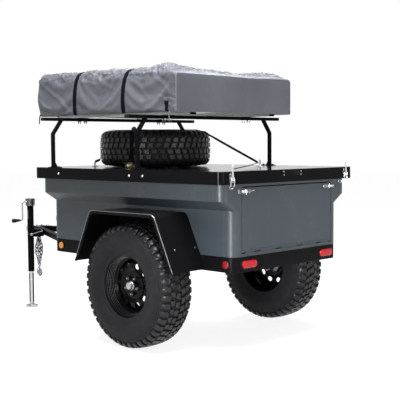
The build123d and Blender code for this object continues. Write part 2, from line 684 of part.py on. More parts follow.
MARKERS = [("amber_markers", 1024.0), ("red_markers", -668.0)]
for label, along in MARKERS:
    with BuildPart() as marker:
        for side, s in SIDES:
            with BuildSketch(Plane.XZ.offset(-(s * TUB_Y + (14 if s > 0 else 0)))):
                with Locations((AX + along, 597)):
                    Circle(26)
            extrude(amount=14)
    marker.part.label = label
    export_step(marker.part, "parts/" + label + ".step")
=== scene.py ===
import json
import math

import bmesh
import bpy
import numpy as np
from mathutils import Matrix, Vector, noise
from mathutils.bvhtree import BVHTree


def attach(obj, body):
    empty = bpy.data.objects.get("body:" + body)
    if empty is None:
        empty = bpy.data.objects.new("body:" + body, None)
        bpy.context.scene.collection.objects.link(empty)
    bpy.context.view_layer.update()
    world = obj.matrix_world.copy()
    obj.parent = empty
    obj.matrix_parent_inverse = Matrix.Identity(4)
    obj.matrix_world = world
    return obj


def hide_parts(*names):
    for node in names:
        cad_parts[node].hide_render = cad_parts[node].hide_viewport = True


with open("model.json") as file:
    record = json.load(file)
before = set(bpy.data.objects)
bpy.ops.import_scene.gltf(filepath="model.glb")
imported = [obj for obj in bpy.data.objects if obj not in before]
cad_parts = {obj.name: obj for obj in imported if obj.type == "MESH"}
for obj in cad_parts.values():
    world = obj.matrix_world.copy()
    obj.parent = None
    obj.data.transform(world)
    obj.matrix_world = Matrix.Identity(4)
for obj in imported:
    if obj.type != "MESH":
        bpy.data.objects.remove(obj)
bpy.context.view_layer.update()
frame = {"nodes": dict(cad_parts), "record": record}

AX = -0.730          # X of the axle in the row frame
NODES = frame["nodes"]
RNG = np.random.default_rng(7)


# ------------------------------------------------------------------ materials
class Mat:
    """A Principled material with a few short node helpers."""

    def __init__(self, name, rough=0.5, metal=0.0, **sockets):
        self.m = bpy.data.materials.new(name)
        self.m.use_nodes = True
        self.nt = self.m.node_tree
        self.nt.nodes.clear()
        out = self.nt.nodes.new("ShaderNodeOutputMaterial")
        self.b = self.nt.nodes.new("ShaderNodeBsdfPrincipled")
        self.link(self.b.outputs[0], out.inputs[0])
        self.b.inputs["Roughness"].default_value = rough
        self.b.inputs["Metallic"].default_value = metal
        for k, v in sockets.items():
            self.b.inputs[k.replace("_", " ")].default_value = v
        tc = self.nt.nodes.new("ShaderNodeTexCoord")
        self.obj = tc.outputs["Object"]

    def link(self, a, b):
        self.nt.links.new(a, b)

    def scaled(self, sx, sy=None, sz=None, rot=(0, 0, 0)):
        mp = self.nt.nodes.new("ShaderNodeMapping")
        mp.inputs["Scale"].default_value = (sx, sx if sy is None else sy, sx if sz is None else sz)
        mp.inputs["Rotation"].default_value = rot
        self.link(self.obj, mp.inputs["Vector"])
        return mp.outputs[0]

    def noise(self, scale, detail=4.0, rough=0.55, vec=None, distortion=0.0):
        n = self.nt.nodes.new("ShaderNodeTexNoise")
        n.inputs["Scale"].default_value = scale
        n.inputs["Detail"].default_value = detail
        n.inputs["Roughness"].default_value = rough
        n.inputs["Distortion"].default_value = distortion
        self.link(vec or self.obj, n.inputs["Vector"])
        return n.outputs["Fac"]

    def voronoi(self, scale, vec=None, feature="F1"):
        n = self.nt.nodes.new("ShaderNodeTexVoronoi")
        n.feature = feature
        n.inputs["Scale"].default_value = scale
        self.link(vec or self.obj, n.inputs["Vector"])
        return n.outputs["Distance"]

    def wave(self, scale, direction="X", vec=None, distortion=0.0, profile="SIN"):
        n = self.nt.nodes.new("ShaderNodeTexWave")
        n.bands_direction = direction
        n.wave_profile = profile
        n.inputs["Scale"].default_value = scale
        n.inputs["Distortion"].default_value = distortion
        self.link(vec or self.obj, n.inputs["Vector"])
        return n.outputs["Fac"]

    def math(self, op, a, b=None):
        n = self.nt.nodes.new("ShaderNodeMath")
        n.operation = op
        for i, v in enumerate((a, b)):
            if v is None:
                continue
            if isinstance(v, (int, float)):
                n.inputs[i].default_value = v
            else:
                self.link(v, n.inputs[i])
        return n.outputs[0]

    def ramp(self, fac, *stops):
        n = self.nt.nodes.new("ShaderNodeValToRGB")
        el = n.color_ramp.elements
        while len(el) < len(stops):
            el.new(0.5)
        for e, (p, c) in zip(el, stops):
            e.position = p
            e.color = (c, c, c, 1) if isinstance(c, (int, float)) else (*c, 1)
        self.link(fac, n.inputs[0])
        return n.outputs[0]

    def mix(self, fac, a, b):
        n = self.nt.nodes.new("ShaderNodeMix")
        n.data_type = "RGBA"
        if isinstance(fac, (int, float)):
            n.inputs[0].default_value = fac
        else:
            self.link(fac, n.inputs[0])
        for i, v in ((6, a), (7, b)):
            if isinstance(v, tuple):
                n.inputs[i].default_value = (*v, 1)
            else:
                self.link(v, n.inputs[i])
        return n.outputs[2]

    def range(self, v, lo, hi):
        n = self.nt.nodes.new("ShaderNodeMapRange")
        n.inputs["To Min"].default_value = lo
        n.inputs["To Max"].default_value = hi
        self.link(v, n.inputs["Value"])
        return n.outputs[0]

    def bump(self, height, strength, distance, normal=None):
        n = self.nt.nodes.new("ShaderNodeBump")
        n.inputs["Strength"].default_value = strength
        n.inputs["Distance"].default_value = distance
        self.link(height, n.inputs["Height"])
        if normal is not None:
            self.link(normal, n.inputs["Normal"])
        return n.outputs[0]

    def edge(self, lo=0.52, hi=0.6):
        """High where a corner stands out, from the mesh itself."""
        g = self.nt.nodes.new("ShaderNodeNewGeometry")
        return self.ramp(g.outputs["Pointiness"], (lo, 0.0), (hi, 1.0))

    def color(self, v):
        self.link(v, self.b.inputs["Base Color"])

    def rough(self, v):
        self.link(v, self.b.inputs["Roughness"])

    def normal(self, v):
        self.link(v, self.b.inputs["Normal"])


def tone(c, k):
    return tuple(min(1.0, x * k) for x in c)


def painted(name, c, rough, peel=0.10, dust=(0.30, 0.29, 0.27), dusty=0.05, coat=0.0, spec=0.5, crease=0.0):
    m = Mat(name, rough=rough, Coat_Weight=coat, Coat_Roughness=0.25, Specular_IOR_Level=spec)
    cloud = m.noise(2.3, 5)
    fine = m.noise(38, 4)
    base = m.mix(m.ramp(cloud, (0.3, 0.0), (0.7, 1.0)), tone(c, 0.93), tone(c, 1.07))
    grime = m.math("MULTIPLY", m.ramp(m.noise(5.5, 7, 0.7), (0.52, 0.0), (0.8, 1.0)), m.ramp(fine, (0.4, 0.0), (0.75, 1.0)))
    m.color(m.mix(m.math("MULTIPLY", grime, dusty * 3), base, dust))
    m.rough(m.range(m.noise(14, 5, 0.6), rough - 0.07, rough + 0.08))
    start = None
    if crease:
        bv = m.nt.nodes.new("ShaderNodeBevel")
        bv.samples = 6
        bv.inputs["Radius"].default_value = crease
        start = bv.outputs[0]
    b1 = m.bump(m.noise(900, 2), peel, 0.0006, start)
    m.normal(m.bump(m.noise(120, 3), peel * 0.5, 0.001, b1))
    return m.m


def metal(name, c, rough, streak=0.25, scale=(40, 40, 40)):
    m = Mat(name, rough=rough, metal=1.0)
    v = m.scaled(*scale)
    n = m.noise(3.0, 6, 0.65, v)
    m.color(m.mix(m.ramp(n, (0.25, 0.0), (0.8, 1.0)), tone(c, 0.82), tone(c, 1.08)))
    m.rough(m.range(m.noise(9.0, 5, 0.6, v), max(0.03, rough - streak * 0.3), rough + streak * 0.5))
    m.normal(m.bump(m.noise(60.0, 3, 0.5, v), 0.04, 0.0005))
    return m.m


def rubber(name, lo, hi, spec, rough, pale_share):
    m = Mat(name, rough=rough[0], Specular_IOR_Level=spec)
    big = m.noise(6, 6, 0.6)
    fine = m.noise(160, 3)
    base = m.mix(m.ramp(big, (0.3, 0.0), (0.75, 1.0)), lo, hi)
    pale = m.math("MULTIPLY", m.ramp(m.noise(19, 6, 0.7), (0.5, 0.0), (0.85, 1.0)), pale_share)
    m.color(m.mix(pale, base, (0.034, 0.032, 0.033)))
    m.rough(m.range(m.noise(25, 5), *rough))
    m.normal(m.bump(m.noise(420, 3), 0.18, 0.0012, m.bump(fine, 0.1, 0.0015)))
    return m.m


def fabric():
    m = Mat("tent_fabric_looks", rough=0.56, Sheen_Weight=0.03, Sheen_Roughness=0.4, Specular_IOR_Level=0.28)
    # threads run along (x + z) and (y - z), so that they cross on every side of the cover
    mp1 = m.scaled(1, 1, 1, (0, math.radians(45), 0))
    mp2 = m.scaled(1, 1, 1, (math.radians(45), 0, 0))
    warp = m.wave(260, "X", mp1, 0.4)
    weft = m.wave(260, "Y", mp2, 0.4)
    weave = m.math("MAXIMUM", warp, weft)
    rip = m.math("MAXIMUM", m.ramp(m.wave(24, "X", mp1), (0.93, 0.0), (0.99, 1.0)), m.ramp(m.wave(24, "Y", mp2), (0.93, 0.0), (0.99, 1.0)))
    cloud = m.noise(2.8, 6, 0.6)
    c = m.mix(m.ramp(cloud, (0.3, 0.0), (0.72, 1.0)), (0.043, 0.0457, 0.0555), (0.062, 0.0655, 0.0765))
    c = m.mix(m.math("MULTIPLY", m.math("SUBTRACT", 1.0, weave), 0.35), c, (0.036, 0.0385, 0.046))
    stain = m.ramp(m.noise(7.0, 7, 0.7), (0.55, 0.0), (0.85, 1.0))
    m.color(m.mix(m.math("MULTIPLY", stain, 0.14), c, (0.13, 0.128, 0.125)))
    m.rough(m.range(m.noise(12, 5), 0.44, 0.64))
    b = m.bump(weave, 0.12, 0.0006)
    b = m.bump(rip, 0.12, 0.0008, b)
    b = m.bump(m.noise(26, 5, 0.6, distortion=0.6), 0.22, 0.006, b)
    m.normal(b)
    return m.m


def webbing(name, c):
    m = Mat(name, rough=0.7, Specular_IOR_Level=0.04)
    v1 = m.wave(320, "DIAGONAL")
    v2 = m.wave(190, "Z")
    w = m.math("MAXIMUM", v1, v2)
    m.color(m.mix(w, tone(c, 0.55), tone(c, 1.35)))
    m.rough(m.range(m.noise(60, 3), 0.6, 0.8))
    m.normal(m.bump(w, 0.35, 0.0008))
    return m.m


def lens(name, c, dark):
    m = Mat(name, rough=0.14, Coat_Weight=0.10, Coat_Roughness=0.08, Specular_IOR_Level=0.22)
    cells = m.voronoi(150)
    rib = m.wave(95, "Z")
    glow = m.math("MULTIPLY", m.ramp(cells, (0.05, 1.0), (0.6, 0.0)), m.range(rib, 0.55, 1.0))
    m.color(m.mix(glow, dark, c))
    m.rough(m.range(m.noise(40, 4), 0.10, 0.2))
    m.normal(m.bump(cells, 0.25, 0.0012, m.bump(rib, 0.2, 0.001)))
    return m.m


M_BODY = painted("body_paint_looks", (0.026, 0.034, 0.040), 0.40, coat=0.05, spec=0.28, crease=0.005)
M_BLACK = painted("black_paint_looks", (0.0032, 0.0032, 0.0036), 0.30, 0.14, dusty=0.004, spec=0.036)
M_SATIN = painted("satin_black_looks", (0.0024, 0.0024, 0.0028), 0.45, 0.14, dusty=0.006, spec=0.016)
M_LID = painted("lid_paint_looks", (0.0022, 0.0022, 0.0026), 0.12, 0.03, dusty=0.004, spec=0.036)
M_RIM = painted("rim_paint_looks", (0.0012, 0.0012, 0.0015), 0.17, 0.05, dusty=0.005, spec=0.085)
M_TYRE = rubber("tyre_rubber_looks", (0.0044, 0.0041, 0.0051), (0.0076, 0.0071, 0.0084), 0.16, (0.50, 0.72), 0.30)
M_TREAD = rubber("tread_rubber_looks", (0.0030, 0.0028, 0.0034), (0.0070, 0.0066, 0.0076), 0.30, (0.20, 0.52), 0.42)
M_STEEL = metal("bright_steel_looks", (0.56, 0.56, 0.57), 0.30, 0.35)
M_CHROME = metal("chrome_looks", (0.80, 0.80, 0.82), 0.12, 0.15)
M_ALLOY = metal("tent_alloy_looks", (0.55, 0.585, 0.575), 0.24, 0.3)
# bright alloy of hub caps and rings; on the fender beads it is a painted highlight of the paint's rounded edge
M_BRIGHT = metal("bright_alloy_and_edge_highlight_looks", (0.40, 0.41, 0.43), 0.34, 0.3)
M_NUT = metal("dark_steel_looks", (0.16, 0.16, 0.17), 0.26, 0.3)
M_LUG = metal("lug_steel_looks", (0.33, 0.33, 0.35), 0.20, 0.3)
M_RIM_EDGE = metal("rim_edge_looks", (0.12, 0.12, 0.13), 0.24, 0.3)
M_BRASS = metal("brass_looks", (0.055, 0.048, 0.032), 0.24, 0.35)
M_RED = lens("red_lens_looks", (0.66, 0.010, 0.018), (0.22, 0.003, 0.006))
M_RED_DIM = lens("red_marker_looks", (0.34, 0.010, 0.018), (0.12, 0.003, 0.006))
M_AMBER = lens("amber_lens_looks", (0.78, 0.36, 0.05), (0.46, 0.15, 0.015))
M_FABRIC = fabric()
M_WEB = webbing("webbing_looks", (0.0018, 0.0018, 0.0030))
M_GRIP = painted("grip_plastic_looks", (0.0030, 0.0030, 0.0034), 0.42, 0.3, dusty=0.010, spec=0.12)
# pale webbing: on the piping its pale colour is a painted highlight along the cover's rear corners and top crease; the
# hanging tape is pale itself
M_PIPING_HIGHLIGHT_AND_TAPE = webbing("piping_painted_highlight_and_tape_looks", (0.100, 0.104, 0.113))

LOOKS = {
    "body_paint": M_BODY, "black_paint": M_BLACK, "lid_paint": M_LID, "rim_paint": M_RIM,
    "tyre_rubber": M_TYRE, "bright_steel": M_STEEL, "chrome_trim": M_CHROME, "red_lens": M_RED,
    "amber_lens": M_AMBER, "tent_alloy": M_ALLOY, "tent_fabric": M_FABRIC,
}
for sp in frame["record"]["subparts"]:
    o = NODES.get(sp["node"])
    if o is not None and o.type == "MESH":
        o.data.materials.clear()
        o.data.materials.append(LOOKS[sp["material_slot"]])


# ------------------------------------------------------------------ mesh helpers
class Acc:
    """Gathers many small shapes into one mesh."""

    def __init__(self):
        self.v, self.f = [], []

    def add(self, verts, faces, m=None):
        k = len(self.v)
        for p in verts:
            p = Vector(p)
            self.v.append(m @ p if m is not None else p)
        self.f += [[k + i for i in f] for f in faces]
        return self

    def obj(self, name, mat, body, slot=None, replaces=(), angle=35, bevel=0.0):
        me = bpy.data.meshes.new(name)
        me.from_pydata([tuple(p) for p in self.v], [], self.f)
        me.validate()
        bm = bmesh.new()
        bm.from_mesh(me)
        bmesh.ops.recalc_face_normals(bm, faces=bm.faces)
        if bevel:
            es = [e for e in bm.edges if len(e.link_faces) == 2 and e.calc_face_angle(0) > math.radians(40)]
            bmesh.ops.bevel(bm, geom=es, offset=bevel, segments=2, affect="EDGES", profile=0.5, clamp_overlap=True)
        bm.to_mesh(me)
        bm.free()
        me.shade_smooth()
        me.set_sharp_from_angle(angle=math.radians(angle))
        me.materials.append(mat)
        o = bpy.data.objects.new(name, me)
        bpy.context.scene.collection.objects.link(o)
        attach(o, body)
        if replaces:
            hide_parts(*replaces)
        return o


def ring_faces(rings, n, closed=True, cap0=True, cap1=True):
    f = []
    for r in range(rings - 1):
        for i in range(n if closed else n - 1):
            j = (i + 1) % n
            f.append([r * n + i, r * n + j, (r + 1) * n + j, (r + 1) * n + i])
    if cap0:
        f.append([i for i in range(n)][::-1])
    if cap1:
        f.append([(rings - 1) * n + i for i in range(n)])
    return f


def turned(profile, n=48, cap=True):
    """Profile of (radius, height) turned about Z."""
    v = []
    for r, h in profile:
        for i in range(n):
            a = 2 * math.pi * i / n
            v.append((r * math.cos(a), r * math.sin(a), h))
    return v, ring_faces(len(profile), n, cap0=cap, cap1=cap)


def frame_at(p, normal, up=(0, 0, 1)):
    """Matrix that puts local Z along normal at p."""
    z = Vector(normal).normalized()
    u = Vector(up)
    if abs(z.dot(u)) > 0.95:
        u = Vector((1, 0, 0))
    x = u.cross(z).normalized()
    y = z.cross(x)
    return Matrix(((x.x, y.x, z.x, p[0]), (x.y, y.y, z.y, p[1]), (x.z, y.z, z.z, p[2]), (0, 0, 0, 1)))


def block(size):
    x, y, z = (s / 2 for s in size)
    v = [(-x, -y, -z), (x, -y, -z), (x, y, -z), (-x, y, -z), (-x, -y, z), (x, -y, z), (x, y, z), (-x, y, z)]
    f = [[3, 2, 1, 0], [4, 5, 6, 7], [0, 1, 5, 4], [1, 2, 6, 5], [2, 3, 7, 6], [3, 0, 4, 7]]
    return v, f


def tube(points, radius, n=10, closed=False, radii=None):
    """A round tube along points, with a frame carried along so that it doesn't twist."""
    pts = [Vector(p) for p in points]
    m = len(pts)
    tang = []
    for i in range(m):
        a = pts[(i - 1) % m] if closed or i > 0 else pts[i]
        b = pts[(i + 1) % m] if closed or i < m - 1 else pts[i]
        tang.append((b - a).normalized())
    ref = Vector((0, 0, 1)) if abs(tang[0].z) < 0.9 else Vector((1, 0, 0))
    x = ref.cross(tang[0]).normalized()
    v = []
    for i in range(m):
        t = tang[i]
        x = (x - t * x.dot(t)).normalized()
        y = t.cross(x)
        r = radii[i] if radii else radius
        for k in range(n):
            a = 2 * math.pi * k / n
            v.append(pts[i] + (x * math.cos(a) + y * math.sin(a)) * r)
    f = ring_faces(m, n, cap0=not closed, cap1=not closed)
    if closed:
        for k in range(n):
            j = (k + 1) % n
            f.append([(m - 1) * n + k, (m - 1) * n + j, j, k])
    return v, f


def bend(points, radius=0.02, steps=5):
    """Rounds the corners of a run of points."""
    pts = [Vector(p) for p in points]
    out = [pts[0]]
    for a, b, c in zip(pts, pts[1:], pts[2:]):
        d1, d2 = (a - b), (c - b)
        r = min(radius, d1.length * 0.45, d2.length * 0.45)
        p0, p2 = b + d1.normalized() * r, b + d2.normalized() * r
        for k in range(steps + 1):
            t = k / steps
            out.append(p0 * (1 - t) ** 2 + b * 2 * t * (1 - t) + p2 * t * t)
    out.append(pts[-1])
    return out


def hex_bolt(acc, p, normal, r=0.0085, h=0.006, washer=True, turn=0.0):
    m = frame_at(p, normal) @ Matrix.Rotation(turn, 4, "Z")
    base = 0.0
    if washer:
        v, f = turned([(r * 1.55, 0.0), (r * 1.55, 0.0013), (r * 1.45, 0.0018), (r * 0.6, 0.0018)], 20)
        acc.add(v, f, m)
        base = 0.0016
    v, f = turned([(r, base), (r, base + h * 0.82), (r * 0.86, base + h), (r * 0.3, base + h)], 6)
    acc.add(v, f, m)


def round_head(acc, p, normal, r=0.009, h=0.005):
    v, f = turned([(r, 0.0), (r, h * 0.25), (r * 0.9, h * 0.6), (r * 0.65, h * 0.88), (r * 0.3, h), (r * 0.05, h)], 18)
    acc.add(v, f, frame_at(p, normal))


# ------------------------------------------------------------------ camera, floor, light
def make_camera():
    yaw, pitch, roll = (math.radians(a) for a in (-45.978, -3.701, -0.342))
    look = Vector((math.cos(yaw) * math.cos(pitch), math.sin(yaw) * math.cos(pitch), math.sin(pitch)))
    right = look.cross(Vector((0, 0, 1))).normalized()
    up = right.cross(look)
    c, s = math.cos(roll), math.sin(roll)
    r2, u2 = right * c + up * s, up * c - right * s
    cam = bpy.data.objects.new("camera", bpy.data.cameras.new("camera"))
    cam.data.sensor_width = 36.0
    cam.data.lens = 81.17
    cam.data.clip_end = 200
    p = Vector((-4.4875 + AX, 4.7379, 1.3771))
    b = -look
    cam.matrix_world = Matrix(((r2.x, u2.x, b.x, p.x), (r2.y, u2.y, b.y, p.y), (r2.z, u2.z, b.z, p.z), (0, 0, 0, 1)))
    bpy.context.scene.collection.objects.link(cam)
    bpy.context.scene.camera = cam


make_camera()


def area_light(name, pos, target, size, power, color=(1, 1, 1)):
    li = bpy.data.lights.new(name, "AREA")
    li.shape = "RECTANGLE"
    li.size, li.size_y = size
    li.energy = power
    li.color = color
    o = bpy.data.objects.new(name, li)
    o.location = pos
    o.rotation_mode = "QUATERNION"
    o.rotation_quaternion = (Vector(target) - Vector(pos)).to_track_quat("-Z", "Y")
    bpy.context.scene.collection.objects.link(o)
    return o


bpy.context.scene.view_settings.view_transform = "Standard"
bpy.context.scene.view_settings.look = "None"


def make_world():
    """White studio: bright all round near the horizon, softer overhead."""
    w = bpy.data.worlds.new("studio")
    bpy.context.scene.world = w
    w.use_nodes = True
    nt = w.node_tree
    bg = nt.nodes["Background"]
    tc = nt.nodes.new("ShaderNodeTexCoord")
    sep = nt.nodes.new("ShaderNodeSeparateXYZ")
    ramp = nt.nodes.new("ShaderNodeValToRGB")
    nt.links.new(tc.outputs["Generated"], sep.inputs[0])
    nt.links.new(sep.outputs["Z"], ramp.inputs[0])
    nt.links.new(ramp.outputs[0], bg.inputs[0])
    el = ramp.color_ramp.elements
    el[0].position, el[0].color = 0.17, (1.0, 1.0, 1.0, 1)
    el[1].position, el[1].color = 0.34, (0.34, 0.34, 0.35, 1)
    bg.inputs[1].default_value = 1.0


make_world()
area_light("key_top", (-1.5, 1.3, 5.0), (-0.4, 0.0, 1.2), (3.0, 3.0), 900)
area_light("back_top", (2.6, -3.2, 4.6), (-0.2, 0.0, 1.6), (4.0, 2.0), 240)
area_light("side_fill", (-1.9, 6.4, 2.2), (-0.7, 0.2, 0.9), (4.0, 2.2), 22)
corner = area_light("corner_fill", (-2.8, 5.2, 1.0), (-1.62, 0.55, 0.86), (1.5, 1.5), 11)
corner.data.spread = math.radians(20)
area_light("rear_fill", (-6.5, 0.2, 1.6), (-1.2, 0.0, 0.9), (3.5, 1.8), 80)

v = [(-30, -30, 0), (30, -30, 0), (30, 30, 0), (-30, 30, 0)]
me = bpy.data.meshes.new("floor")
me.from_pydata(v, [], [[0, 1, 2, 3]])
floor = bpy.data.objects.new("floor", me)
fm = Mat("floor_looks", rough=0.75, Emission_Color=(1, 1, 1, 1), Emission_Strength=0.86)
fm.color(fm.mix(fm.noise(0.8, 3), (0.19, 0.19, 0.19), (0.22, 0.22, 0.22)))
fm.rough(fm.range(fm.noise(3, 3), 0.7, 0.85))
me.materials.append(fm.m)
bpy.context.scene.collection.objects.link(floor)


# ------------------------------------------------------------------ tyres
def smooth_profile(pts, per=6):
    """Points on a rounded line through pts (Catmull-Rom)."""
    p = [np.array(q, float) for q in pts]
    p = [2 * p[0] - p[1]] + p + [2 * p[-1] - p[-2]]
    out = []
    for i in range(1, len(p) - 2):
        for k in range(per):
            t = k / per
            a, b, c, d = p[i - 1], p[i], p[i + 1], p[i + 2]
            out.append(0.5 * (2 * b + (c - a) * t + (2 * a - 5 * b + 4 * c - d) * t * t + (3 * b - a - 3 * c + d) * t ** 3))
    out.append(p[-2])
    return [tuple(q) for q in out]


LUGS = 46


def tyre_mesh():
    """Off-road tyre about Z, in metres: the carcass, and the tread blocks apart from it."""
    body, acc = Acc(), Acc()
    half = smooth_profile([(0.0, 0.4085), (0.050, 0.4075), (0.086, 0.4040), (0.107, 0.3930), (0.1225, 0.3690), (0.1325, 0.338),
                           (0.1350, 0.312), (0.1305, 0.280), (0.1240, 0.254), (0.1185, 0.236)], 4)
    half += [(0.1160, 0.2275), (0.1142, 0.2205), (0.1132, 0.2155), (0.1128, 0.2122), (0.1118, 0.2112), (0.1040, 0.2055), (0.085, 0.2055)]
    loop = [(-w, r) for w, r in reversed(half[1:])] + half
    n = 156
    v = []
    for w, r in loop:
        for i in range(n):
            a = 2 * math.pi * i / n
            v.append((r * math.cos(a), r * math.sin(a), w))
    body.add(v, ring_faces(len(loop), n, cap0=False, cap1=False))

    def put(r, a, w):
        return (r * math.cos(a), r * math.sin(a), w)

    pitch = 2 * math.pi / LUGS

    def crown(w):
        return 0.4198 - 0.0050 * (abs(w) / 0.092) ** 2

    def flat_block(poly, a0, sink=0.4005, inset=0.0022):
        """poly is (share of a pitch, w) round the block; top edge is drawn in a little."""
        ca = sum(p[0] for p in poly) / len(poly)
        cw = sum(p[1] for p in poly) / len(poly)
        rings = []
        for k, top in ((0.0, 0), (inset * 0.35, 0.85), (inset, 1.0)):
            ring = []
            for sa, w in poly:
                da, dw = (sa - ca) * pitch * 0.41, w - cw
                d = math.hypot(da, dw) or 1
                q = 1 - k / d * 1.4
                ang = a0 + ca * pitch + (sa - ca) * pitch * q
                ww = cw + dw * q
                r = sink - 0.002 + (crown(ww) - sink + 0.002) * top
                ring.append(put(r, ang, ww))
            rings.append(ring)
        m = len(poly)
        acc.add([p for r in rings for p in r], ring_faces(3, m, cap0=False))

    for k in range(LUGS):
        a0 = k * pitch
        # two middle rows, handed, with a notch in each block
        flat_block([(0.04, 0.004), (0.30, 0.0035), (0.36, 0.010), (0.46, 0.010), (0.52, 0.0035), (0.78, 0.004), (0.90, 0.030), (0.84, 0.040), (0.30, 0.041), (0.16, 0.031)], a0)
        flat_block([(0.54, -0.004), (0.80, -0.0035), (0.86, -0.010), (0.96, -0.010), (1.02, -0.0035), (1.28, -0.004), (1.40, -0.030), (1.34, -0.040), (0.80, -0.041), (0.66, -0.031)][::-1], a0)
        # middle-outer rows
        flat_block([(0.42, 0.046), (1.02, 0.046), (1.10, 0.055), (1.06, 0.078), (0.62, 0.080), (0.36, 0.066)], a0)
        flat_block([(-0.08, -0.046), (0.52, -0.046), (0.60, -0.055), (0.56, -0.078), (0.12, -0.080), (-0.14, -0.066)][::-1], a0)
        # shoulder lugs that run down on to the side
        for s, shift in ((1, 0.05), (-1, 0.55)):
            long = (k % 2 == 0)
            top = [(0.0855, 0.4148), (0.100, 0.4112), (0.1140, 0.4010), (0.1230, 0.3895), (0.1285, 0.3765 if long else 0.3820)]
            low = [(0.0855, 0.3960), (0.098, 0.3915), (0.1080, 0.3840), (0.1155, 0.3755), (0.1220, 0.3670 if long else 0.3735)]
            wide = [0.31, 0.34, 0.35, 0.33, 0.27] if long else [0.35, 0.34, 0.31, 0.27, 0.20]
            rows = []
            for (wt, rt), (wl, rl), h in zip(top, low, wide):
                c = a0 + (shift + 0.35) * pitch
                hw = h * pitch
                e = 0.0022 / rt
                rows.append([put(rl, c - hw, s * wl), put(rt - 0.0016, c - hw + e * 0.4, s * (wt - 0.0006)), put(rt, c - hw + e * 1.5, s * wt),
                             put(rt, c + hw - e * 1.5, s * wt), put(rt - 0.0016, c + hw - e * 0.4, s * (wt - 0.0006)), put(rl, c + hw, s * wl)])
            m = 6
            f = []
            for r in range(len(rows) - 1):
                for i in range(m - 1):
                    f.append([r * m + i, r * m + i + 1, (r + 1) * m + i + 1, (r + 1) * m + i])
            f.append(list(range(m)))
            f.append([(len(rows) - 1) * m + i for i in range(m)][::-1])
            acc.add([p for r in rows for p in r], f)
    # plain raised rings on the sides
    for s in (1, -1):
        for r0, w0, t in ((0.349, 0.1292, 0.0022), (0.2625, 0.1255, 0.0016), (0.2420, 0.1198, 0.0018)):
            pts = [put(r0, 2 * math.pi * i / 120, s * w0) for i in range(120)]
            body.add(*tube(pts, t, 6, closed=True))
    return body, acc


TYRE, TREAD = tyre_mesh()
WHEEL_PLACES = [
    ("left_tyre", "left_wheel", Matrix.Translation((AX, 0.705, 0.42)) @ Matrix.Rotation(math.radians(-90), 4, "X")),
    ("right_tyre", "right_wheel", Matrix.Translation((AX, -0.705, 0.42)) @ Matrix.Rotation(math.radians(90), 4, "X") @ Matrix.Rotation(0.03, 4, "Z")),
    ("spare_tyre", "lid", Matrix.Translation((AX + 0.562, 0.0, 1.330)) @ Matrix.Rotation(0.05, 4, "Z")),
]
for node, body, m in WHEEL_PLACES:
    a = Acc()
    a.add(TYRE.v, TYRE.f, m)
    a.obj(node + "_carcass", M_TYRE, body, "tyre_rubber", [node], angle=32)
    a = Acc()
    a.add(TREAD.v, TREAD.f, m)
    a.obj(node + "_tread", M_TREAD, body, "tyre_rubber", angle=32)

# wheel nuts, valve and cap ring on each rim; local Z points out of the rim's face
for tag, body, m in (
    ("left", "left_wheel", WHEEL_PLACES[0][2]),
    ("right", "right_wheel", WHEEL_PLACES[1][2]),
    ("spare", "lid", WHEEL_PLACES[2][2]),
):
    steel, dark, rim_rings = Acc(), Acc(), Acc()
    for i in range(5):
        a = math.radians(72 * i + 20)
        p = (0.057 * math.cos(a), 0.057 * math.sin(a), 0.034)
        t = m @ Matrix.Translation(p)
        v, f = turned([(0.0145, 0.0), (0.0145, 0.003), (0.0115, 0.006)], 20)
        dark.add(v, f, t)
        if tag != "spare":
            v, f = turned([(0.0108, 0.0), (0.0108, 0.017), (0.0088, 0.0215), (0.004, 0.0225)], 6)
            steel.add(v, f, t)
            v, f = turned([(0.0062, 0.02), (0.0062, 0.028), (0.005, 0.030)], 12)
            steel.add(v, f, t)
    # stepped ring inside the barrel
    for r0, h in ((0.1975, 0.1010), (0.1935, 0.088), (0.1935, 0.074), (0.1935, 0.060), (0.1935, 0.046)):
        pts = [m @ Vector((r0 * math.cos(2 * math.pi * i / 72), r0 * math.sin(2 * math.pi * i / 72), h)) for i in range(72)]
        rim_rings.add(*tube(pts, 0.0017, 6, closed=True))
    v, f = tube([m @ Vector(p) for p in ((0.178, 0.03, 0.052), (0.172, 0.03, 0.066), (0.160, 0.028, 0.082))], 0.0042, 10)
    dark.add(v, f)
    dark.obj(tag + "_rim_trim", M_RIM, body, "rim_paint")
    rim_rings.obj(tag + "_rim_rings", M_RIM_EDGE, body, "rim_paint")
    if steel.v:
        steel.obj(tag + "_wheel_nuts", M_LUG, body, "bright_steel")
        NODES[tag + "_hub"].data.materials[0] = M_NUT
        cap = Acc()
        cap.add(*turned([(0.0319, 0.046), (0.0319, 0.0620), (0.0300, 0.0640), (0.0275, 0.0666), (0.0262, 0.0700), (0.0246, 0.0785), (0.0225, 0.0806), (0.0120, 0.0812), (0.0006, 0.0812)], 36), m)
        cap.obj(tag + "_hub_cap", M_BRIGHT, body, "bright_steel")

# ------------------------------------------------------------------ tent cover
TX0, TX1, TY, TZ0, TZ1 = AX - 0.276, AX + 1.224, 0.600, 1.574, 1.829
STRAPS = [(0.768, 0.758), (0.232, 0.222)]      # place along the trailer at the foot and at the top


def ease(v, lo, hi):
    t = min(1.0, max(0.0, (v - lo) / (hi - lo)))
    return t * t * (3 - 2 * t)


def hill(u, y, cu, cy, ru, ry):
    return math.exp(-(((u - cu) / ru) ** 2 + ((y - cy) / ry) ** 2))


def strap_u(i, z):
    lo, hi = STRAPS[i]
    t = min(1.0, max(0.0, (z - TZ0) / 0.30))
    return AX + lo + (hi - lo) * t


